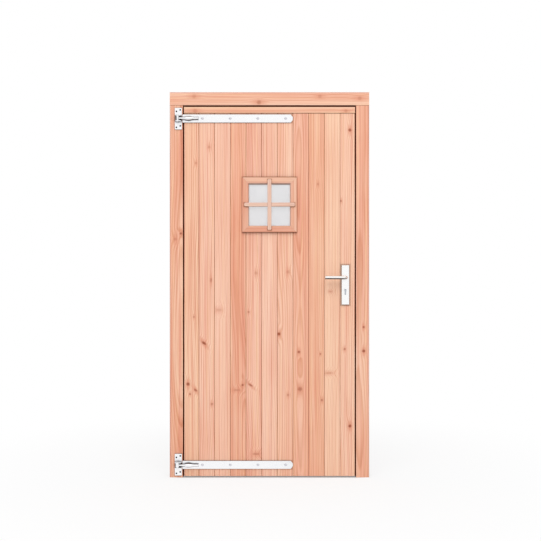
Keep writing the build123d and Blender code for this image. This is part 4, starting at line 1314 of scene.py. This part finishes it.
@dataclass
class WindowSet(SubAssembly):
    """The barred window: two casings, the cross and the pane."""

    screw: Material
    casing_edge: float = 0.151
    casing_back: float = -0.02
    screw_inset: float = 0.018
    screw_apart: float = 0.075
    bar_tint: Triple = (0.88, 0.97, 1.06)
    casing_tint: Triple = (0.96, 1.01, 1.04)

    def finish(self) -> None:
        """Dresses casings, bars and pane."""
        centre = (WINDOW_MIDDLE[0], LEAF_FACE, WINDOW_MIDDLE[1])
        reach = self.casing_edge + FirFinish.APART
        # The casing gets painted shade along its outer edges, along the glass and beside the bars' ends; the
        # level bar gets painted shade along its lower edge.
        seats = (Seats.PANE.value, Seats.UPRIGHT_BAR.value, Seats.LEVEL_BAR.value)
        firs = {
            "window_outer_casing": FirFinish(
                "fir_outer_casing", 0.6, 0.1, Grain.MITRED, centre=centre, pith=(0.03, 0.08), ring=0.0075,
                figure=1.4, seed=3.3, edges=(-reach, reach), seats=seats, side_depths=(0.2, 0.0, 0.3, -0.35),
                tint=self.casing_tint),
            "window_inner_casing": FirFinish(
                "fir_inner_casing", 0.5, grain=Grain.MITRED, centre=centre, pith=(0.02, 0.1), seed=5.9),
            "window_upright_bar": FirFinish(
                "fir_upright_bar", 0.12, 0.3, centre=centre, pith=(0.04, 0.05), ring=0.004, seed=1.1,
                tint=self.bar_tint),
            "window_level_bar": FirFinish(
                "fir_level_bar", 0.12, 0.2, Grain.LEVEL, centre=centre, pith=(0.04, 0.05), ring=0.004,
                seed=7.9, edges=(None, BAR_HALF), tint=self.bar_tint),
        }
        for node, fir in firs.items():
            dress([node], fir.material())
        dress(["window_pane"], SatinGlassFinish().material())

    def fasten(self) -> None:
        """Sets the inner casing's screws, two in each side."""
        half_x, half_z = (half - self.screw_inset for half in CASING_HALF)
        rows = (("casing_level_screws", self.screw_apart, half_z, 5),
                ("casing_upright_screws", half_x, self.screw_apart, 6))
        for name, across, high, seed in rows:
            start = (WINDOW_MIDDLE[0] - across, self.casing_back, WINDOW_MIDDLE[1] - high)
            screws = FastenerRows(name, Heads.RAISED_SCREW, Facing.BACK, start, 2, (2 * across, 0.0, 0.0),
                                  2, (0.0, 0.0, 2 * high), seed=seed)
            screws.make("leaf", self.screw)


@dataclass
class StrapHinges(SubAssembly):
    """Both strap hinges: plates, pins, eye bolts and straps, with their bolts and screws."""

    dark_screw: Material
    strap_front: float = -0.055
    first_bolt: float = 0.181
    bolt_pitch: float = 0.1527
    bolts: int = 4
    first_plate_screw: Pair = (0.037, 0.04)
    plate_screw_step: Triple = (0.021, 0.0, 0.008)
    plate_screw_fall: float = -0.088

    def finish(self) -> None:
        """Dresses every piece of the hinges in zinc."""
        zincs = {
            "jamb_plate": ZincFinish("plate_zinc", HingeShade.BETWEEN_EARS).material(),
            "strap": ZincFinish("strap_zinc", HingeShade.AROUND_HOUSING).material(),
            "eye_bolt": ZincFinish("eye_zinc").material(),
        }
        zincs["hinge_pin"] = zincs["eye_bolt"]
        for piece, zinc in zincs.items():
            dress([f"{place}_{piece}" for place in ("upper", "lower")], zinc)

    def fasten(self) -> None:
        """Sets the straps' bolts, their nuts behind the rails and the plates' screws."""
        rise = (0.0, 0.0, HINGE_HEIGHTS[1] - HINGE_HEIGHTS[0])
        pitch = (self.bolt_pitch, 0.0, 0.0)
        bolt = BrushedFinish("bolt_zinc", (208, 206, 213), (228, 226, 232), rough=0.34).material()
        ends = (("strap_bolt_heads", Heads.DOMED_BOLT, Facing.FRONT, self.strap_front),
                ("strap_bolt_nuts", Heads.NUT, Facing.BACK, LEAF_BACK))
        for seed, (name, head, facing, deep) in enumerate(ends, start=1):
            row = FastenerRows(name, head, facing, (self.first_bolt, deep, HINGE_HEIGHTS[0]), self.bolts,
                               pitch, 2, rise, seed=seed)
            row.make("leaf", bolt)
        across, above = self.first_plate_screw
        for place, height in zip(("lower", "upper"), HINGE_HEIGHTS):
            screws = FastenerRows(place + "_plate_screws", Heads.SUNK_SCREW, Facing.FRONT,
                                  (across, FRAME_FACE, height + above), 2, self.plate_screw_step,
                                  2, (0.0, 0.0, self.plate_screw_fall), seed=7)
            screws.make("frame", self.dark_screw)


@dataclass
class LockSet(SubAssembly):
    """Mortise lock, cylinder, strike plate, backplates and levers, with their screws."""

    zinc: Material
    nickel: Optional[Material] = None
    cylinder_z: float = 1.031
    cylinder_faces: Pair = (-0.0605, 0.0125)
    lock_y: float = -0.015
    lock_z: float = 1.067
    forend_x: float = 1.0177
    forend_screw_half: float = 0.108
    strike_x: float = 1.026
    strike_screw_half: float = 0.084
    inner_plate_back: float = 0.01
    inner_plate_z: float = 1.061
    inner_plate_screw_half: float = 0.096

    def finish(self) -> None:
        """Dresses the lock and its furniture."""
        keyway = (LOCK_AXIS, self.cylinder_z)
        satin = BrushedFinish("satin_aluminium", (250, 250, 249), (255, 255, 255), (900.0, 900.0, 30.0), 0.24)
        # The grip's underside gets a painted dark reflection.
        grip = BrushedFinish("satin_aluminium_grip", (246, 244, 242), (255, 254, 252), (25.0, 900.0, 900.0),
                             0.22, PaintedShade.UNDERSIDE)
        steel = BrushedFinish("lock_steel", (176, 177, 180), (214, 214, 216), (700.0, 700.0, 25.0), 0.32)
        # The strike plate's dark brown is painted shade, like the gap it sits in.
        shaded_strike = BrushedFinish("strike_steel_in_shade", (104, 84, 74), (134, 112, 100), (700.0, 700.0, 25.0), 0.42)
        # The cylinder gets painted shade in a fork around its keyway.
        nickel = BrushedFinish("cylinder_nickel", (226, 227, 230), (244, 244, 245), (500.0, 20.0, 500.0),
                               0.28, PaintedShade.KEYWAY, (0.58, 0.6, 0.63), keyway)
        dress(["outer_backplate", "inner_backplate"], satin.material())
        dress(["outer_lever", "inner_lever"], grip.material())
        dress(["lock_case", "lock_bolts", "spindle", "lock_follower"], steel.material())
        dress(["strike_plate"], shaded_strike.material())
        self.nickel = nickel.material()
        dress(["lock_cylinder"], self.nickel)

    def fasten(self) -> None:
        """Sets the screws of forend, strike and inner backplate, and the rims of the cylinder's plugs."""
        forend = (self.forend_x, self.lock_y, self.lock_z)
        strike = (self.strike_x, self.lock_y, self.lock_z)
        plate = (LOCK_AXIS, self.inner_plate_back, self.inner_plate_z)
        pairs = (
            ("forend_screws", Heads.FLUSH_SCREW, Facing.LOCK_SIDE, forend, self.forend_screw_half,
             "leaf", "lock_steel"),
            ("strike_screws", Heads.FLUSH_SCREW, Facing.HINGE_SIDE, strike, self.strike_screw_half,
             "frame", "lock_steel"),
            ("inner_plate_screws", Heads.RAISED_SCREW, Facing.BACK, plate, self.inner_plate_screw_half,
             "leaf", "handle_aluminium"),
        )
        for seed, (name, head, facing, (x, y, z), half, body, slot) in enumerate(pairs, start=8):
            pair = FastenerRows(name, head, facing, (x, y, z - half), 2, (0.0, 0.0, 2 * half), seed=seed)
            pair.make(body, self.zinc)
        sides = zip(("outer", "inner"), self.cylinder_faces, (Facing.FRONT, Facing.BACK))
        for name, face, facing in sides:
            middle = (LOCK_AXIS, face, self.cylinder_z)
            rim = FastenerRows(name + "_plug_rim", Heads.PLUG_RIM, facing, middle)
            rim.make("leaf", self.nickel)


@dataclass
class Studio:
    """Floor, soft light, white surroundings and the camera, in metres."""

    eye: Triple = (0.5556, -5.05, 1.141)
    distance: float = 5.0
    view_width: float = 2.981
    film: float = 36.0
    floor_half: float = 9.0
    floor_top: float = -0.0006
    lamp_size: Pair = (8.0, 5.0)
    lamp_energy: float = 290.0
    lamp_place: Triple = (0.45, -5.4, 6.4)
    lamp_aim: Triple = (DOOR_MIDDLE, 0.0, 1.0)
    # The dark patch on the floor that only gloss sees, a painted reflection for the lever: its middle, its
    # squeeze and its edge.
    lever_foot: Triple = (0.95, -0.7, 0.0)
    lever_spot: Triple = (4.5, 1.3, 0.0)
    spot_band: Pair = (0.7, 1.15)
    glow_band: Pair = (0.4, 2.4)
    least_glow: float = 0.75
    # The dark line on the floor under the leaf: its half depth, its half width and how much glow is left.
    foot_depth: Pair = (0.05, 0.058)
    foot_width: Pair = (0.48, 0.53)
    foot_glow: float = 0.32

    FLOOR = paint(238, 238, 238)
    UNLIT = (0.08, 0.08, 0.085, 1.0)
    LOW_SKY = (0.49, 0.49, 0.495, 1.0)
    HIGH_SKY = (0.82, 0.82, 0.828, 1.0)
    PANEL = (1.35, 1.35, 1.35, 1.0)
    # Where the surroundings change: how far a direction points to the lock side or upward, from -1 to 1.
    SKY_BAND = (-0.2, 0.9)
    PANEL_BAND = (0.25, 0.5)
    HINGE_SIDE_DARK = (-0.85, -0.4)
    LOCK_SIDE_DARK = (0.4, 0.85)
    LOCK_SIDE_SHARE = 0.5
    OVERHEAD_DARK = (0.86, 1.0)

    def floor(self) -> None:
        """Lays the pale floor that takes the door's shadow."""
        half = self.floor_half
        outline = ((-half, -half), (half, -half), (half, half), (-half, half))
        corners = [(x, y, self.floor_top) for x, y in outline]
        mesh = bpy.data.meshes.new("floor")
        mesh.from_pydata(corners, [], [(0, 1, 2, 3)])
        mesh.materials.append(self.floor_finish())
        new_object("floor", mesh)

    def floor_finish(self) -> Material:
        """Builds the floor's finish: it glows white to the camera, most of all away from the door, and to
        gloss it is white but for a dark patch below the lever, a painted reflection on the lever's underside.
        """
        material, sketch, shader = new_material("pale_floor")
        tree = material.node_tree
        tree.nodes.remove(shader)
        path = sketch.add("ShaderNodeLightPath").outputs
        plain = sketch.add("ShaderNodeBsdfDiffuse", {"Color": self.FLOOR})
        place = sketch.object_place()
        away = sketch.measure("DISTANCE", place, (DOOR_MIDDLE, 0.0, 0.0))
        # Painted reflection: gloss sees the floor dark below the lever and white elsewhere.
        spot = sketch.vector("MULTIPLY", sketch.vector("SUBTRACT", place, self.lever_foot), self.lever_spot)
        spot = sketch.ease(sketch.measure("LENGTH", spot), *self.spot_band)
        mirrored = sketch.blend(spot, self.UNLIT, WHITE)
        bright = sketch.blend(path["Is Glossy Ray"], WHITE, mirrored)
        white = sketch.add("ShaderNodeEmission", {"Color": bright, "Strength": 1.0})
        x, y, _ = sketch.split(place)
        aside = sketch.ease(sketch.off(x, DOOR_MIDDLE), *self.foot_width)
        clear = sketch.ease(sketch.math("ABSOLUTE", y), *self.foot_depth, self.foot_glow, 1.0)
        clear = sketch.math("MAXIMUM", clear, aside)
        glow = sketch.ease(away, *self.glow_band, self.least_glow, 1.0)
        seen = sketch.math("MULTIPLY", path["Is Camera Ray"], glow)
        seen = sketch.math("MAXIMUM", sketch.math("MULTIPLY", seen, clear), path["Is Glossy Ray"])
        mixed = sketch.add("ShaderNodeMixShader", {0: seen, 1: plain.outputs[0], 2: white.outputs[0]})
        sketch.feed(tree.nodes["Material Output"].inputs["Surface"], mixed.outputs[0])
        return material

    def surroundings(self) -> None:
        """Sets the soft sky light, and white where camera, gloss and glass look out."""
        world = bpy.data.worlds.new("studio")
        bpy.context.scene.world = world
        world.use_nodes = True
        sketch = NodeSketch(world.node_tree)
        path = sketch.add("ShaderNodeLightPath").outputs
        across, _, up = sketch.split(sketch.add("ShaderNodeTexCoord").outputs["Generated"])
        sky = sketch.blend(sketch.ease(up, *self.SKY_BAND), self.LOW_SKY, self.HIGH_SKY)
        seen = sketch.math("MAXIMUM", path["Is Camera Ray"], path["Is Transmission Ray"])
        colour = sketch.blend(seen, sky, WHITE)
        hinge_side = sketch.fade(across, *self.HINGE_SIDE_DARK)
        lock_side = sketch.ease(across, *self.LOCK_SIDE_DARK, 0.0, self.LOCK_SIDE_SHARE)
        overhead = sketch.ease(up, *self.OVERHEAD_DARK)
        dim = sketch.math("MAXIMUM", sketch.math("MAXIMUM", hinge_side, lock_side), overhead)
        panel = sketch.blend(sketch.ease(up, *self.PANEL_BAND), WHITE, self.PANEL)
        mirrored = sketch.blend(dim, panel, self.UNLIT)
        colour = sketch.blend(path["Is Glossy Ray"], colour, mirrored)
        sketch.feed(world.node_tree.nodes["Background"].inputs["Color"], colour)

    def lamp(self) -> None:
        """Hangs one large soft lamp in front of and above the door."""
        light = bpy.data.lights.new("key_lamp", "AREA")
        light.shape = "RECTANGLE"
        light.size, light.size_y = self.lamp_size
        light.energy = self.lamp_energy
        key = new_object("key_lamp", light)
        key.visible_glossy = False
        key.location = self.lamp_place
        aim = Vector(self.lamp_aim) - key.location
        key.rotation_euler = aim.to_track_quat("-Z", "Y").to_euler()

    def camera(self) -> None:
        """Stands the camera straight in front of the door."""
        lens = bpy.data.cameras.new("camera")
        lens.sensor_width = self.film
        lens.lens = self.film * self.distance / self.view_width
        camera = new_object("camera", lens)
        camera.location = self.eye
        camera.rotation_euler = (math.pi / 2, 0.0, 0.0)
        bpy.context.scene.camera = camera

    def set_up(self) -> None:
        """Sets the whole studio up, with plain colour handling."""
        bpy.context.scene.view_settings.view_transform = "Standard"
        self.camera()
        self.floor()
        self.surroundings()
        self.lamp()


def main() -> None:
    """Builds the door's looks, one sub-assembly after another."""
    logging.basicConfig(level=logging.INFO, format="%(message)s")
    Studio().set_up()
    zinc = ZincFinish().material()
    bright = BrushedFinish("bright_screws", (206, 204, 198), (238, 236, 230), rough=0.28).material()
    # The plate screws are near black: painted shade for the shadowed holes they sit in.
    dark = BrushedFinish("dark_screws", (34, 29, 27), (58, 50, 46), rough=0.4).material()
    parts = (DoorFrame(bright), BoardedLeaf(), BackFrame(bright), WindowSet(bright), StrapHinges(dark),
             LockSet(zinc))
    for part in parts:
        part.build()


if __name__ == "__main__":
    main()
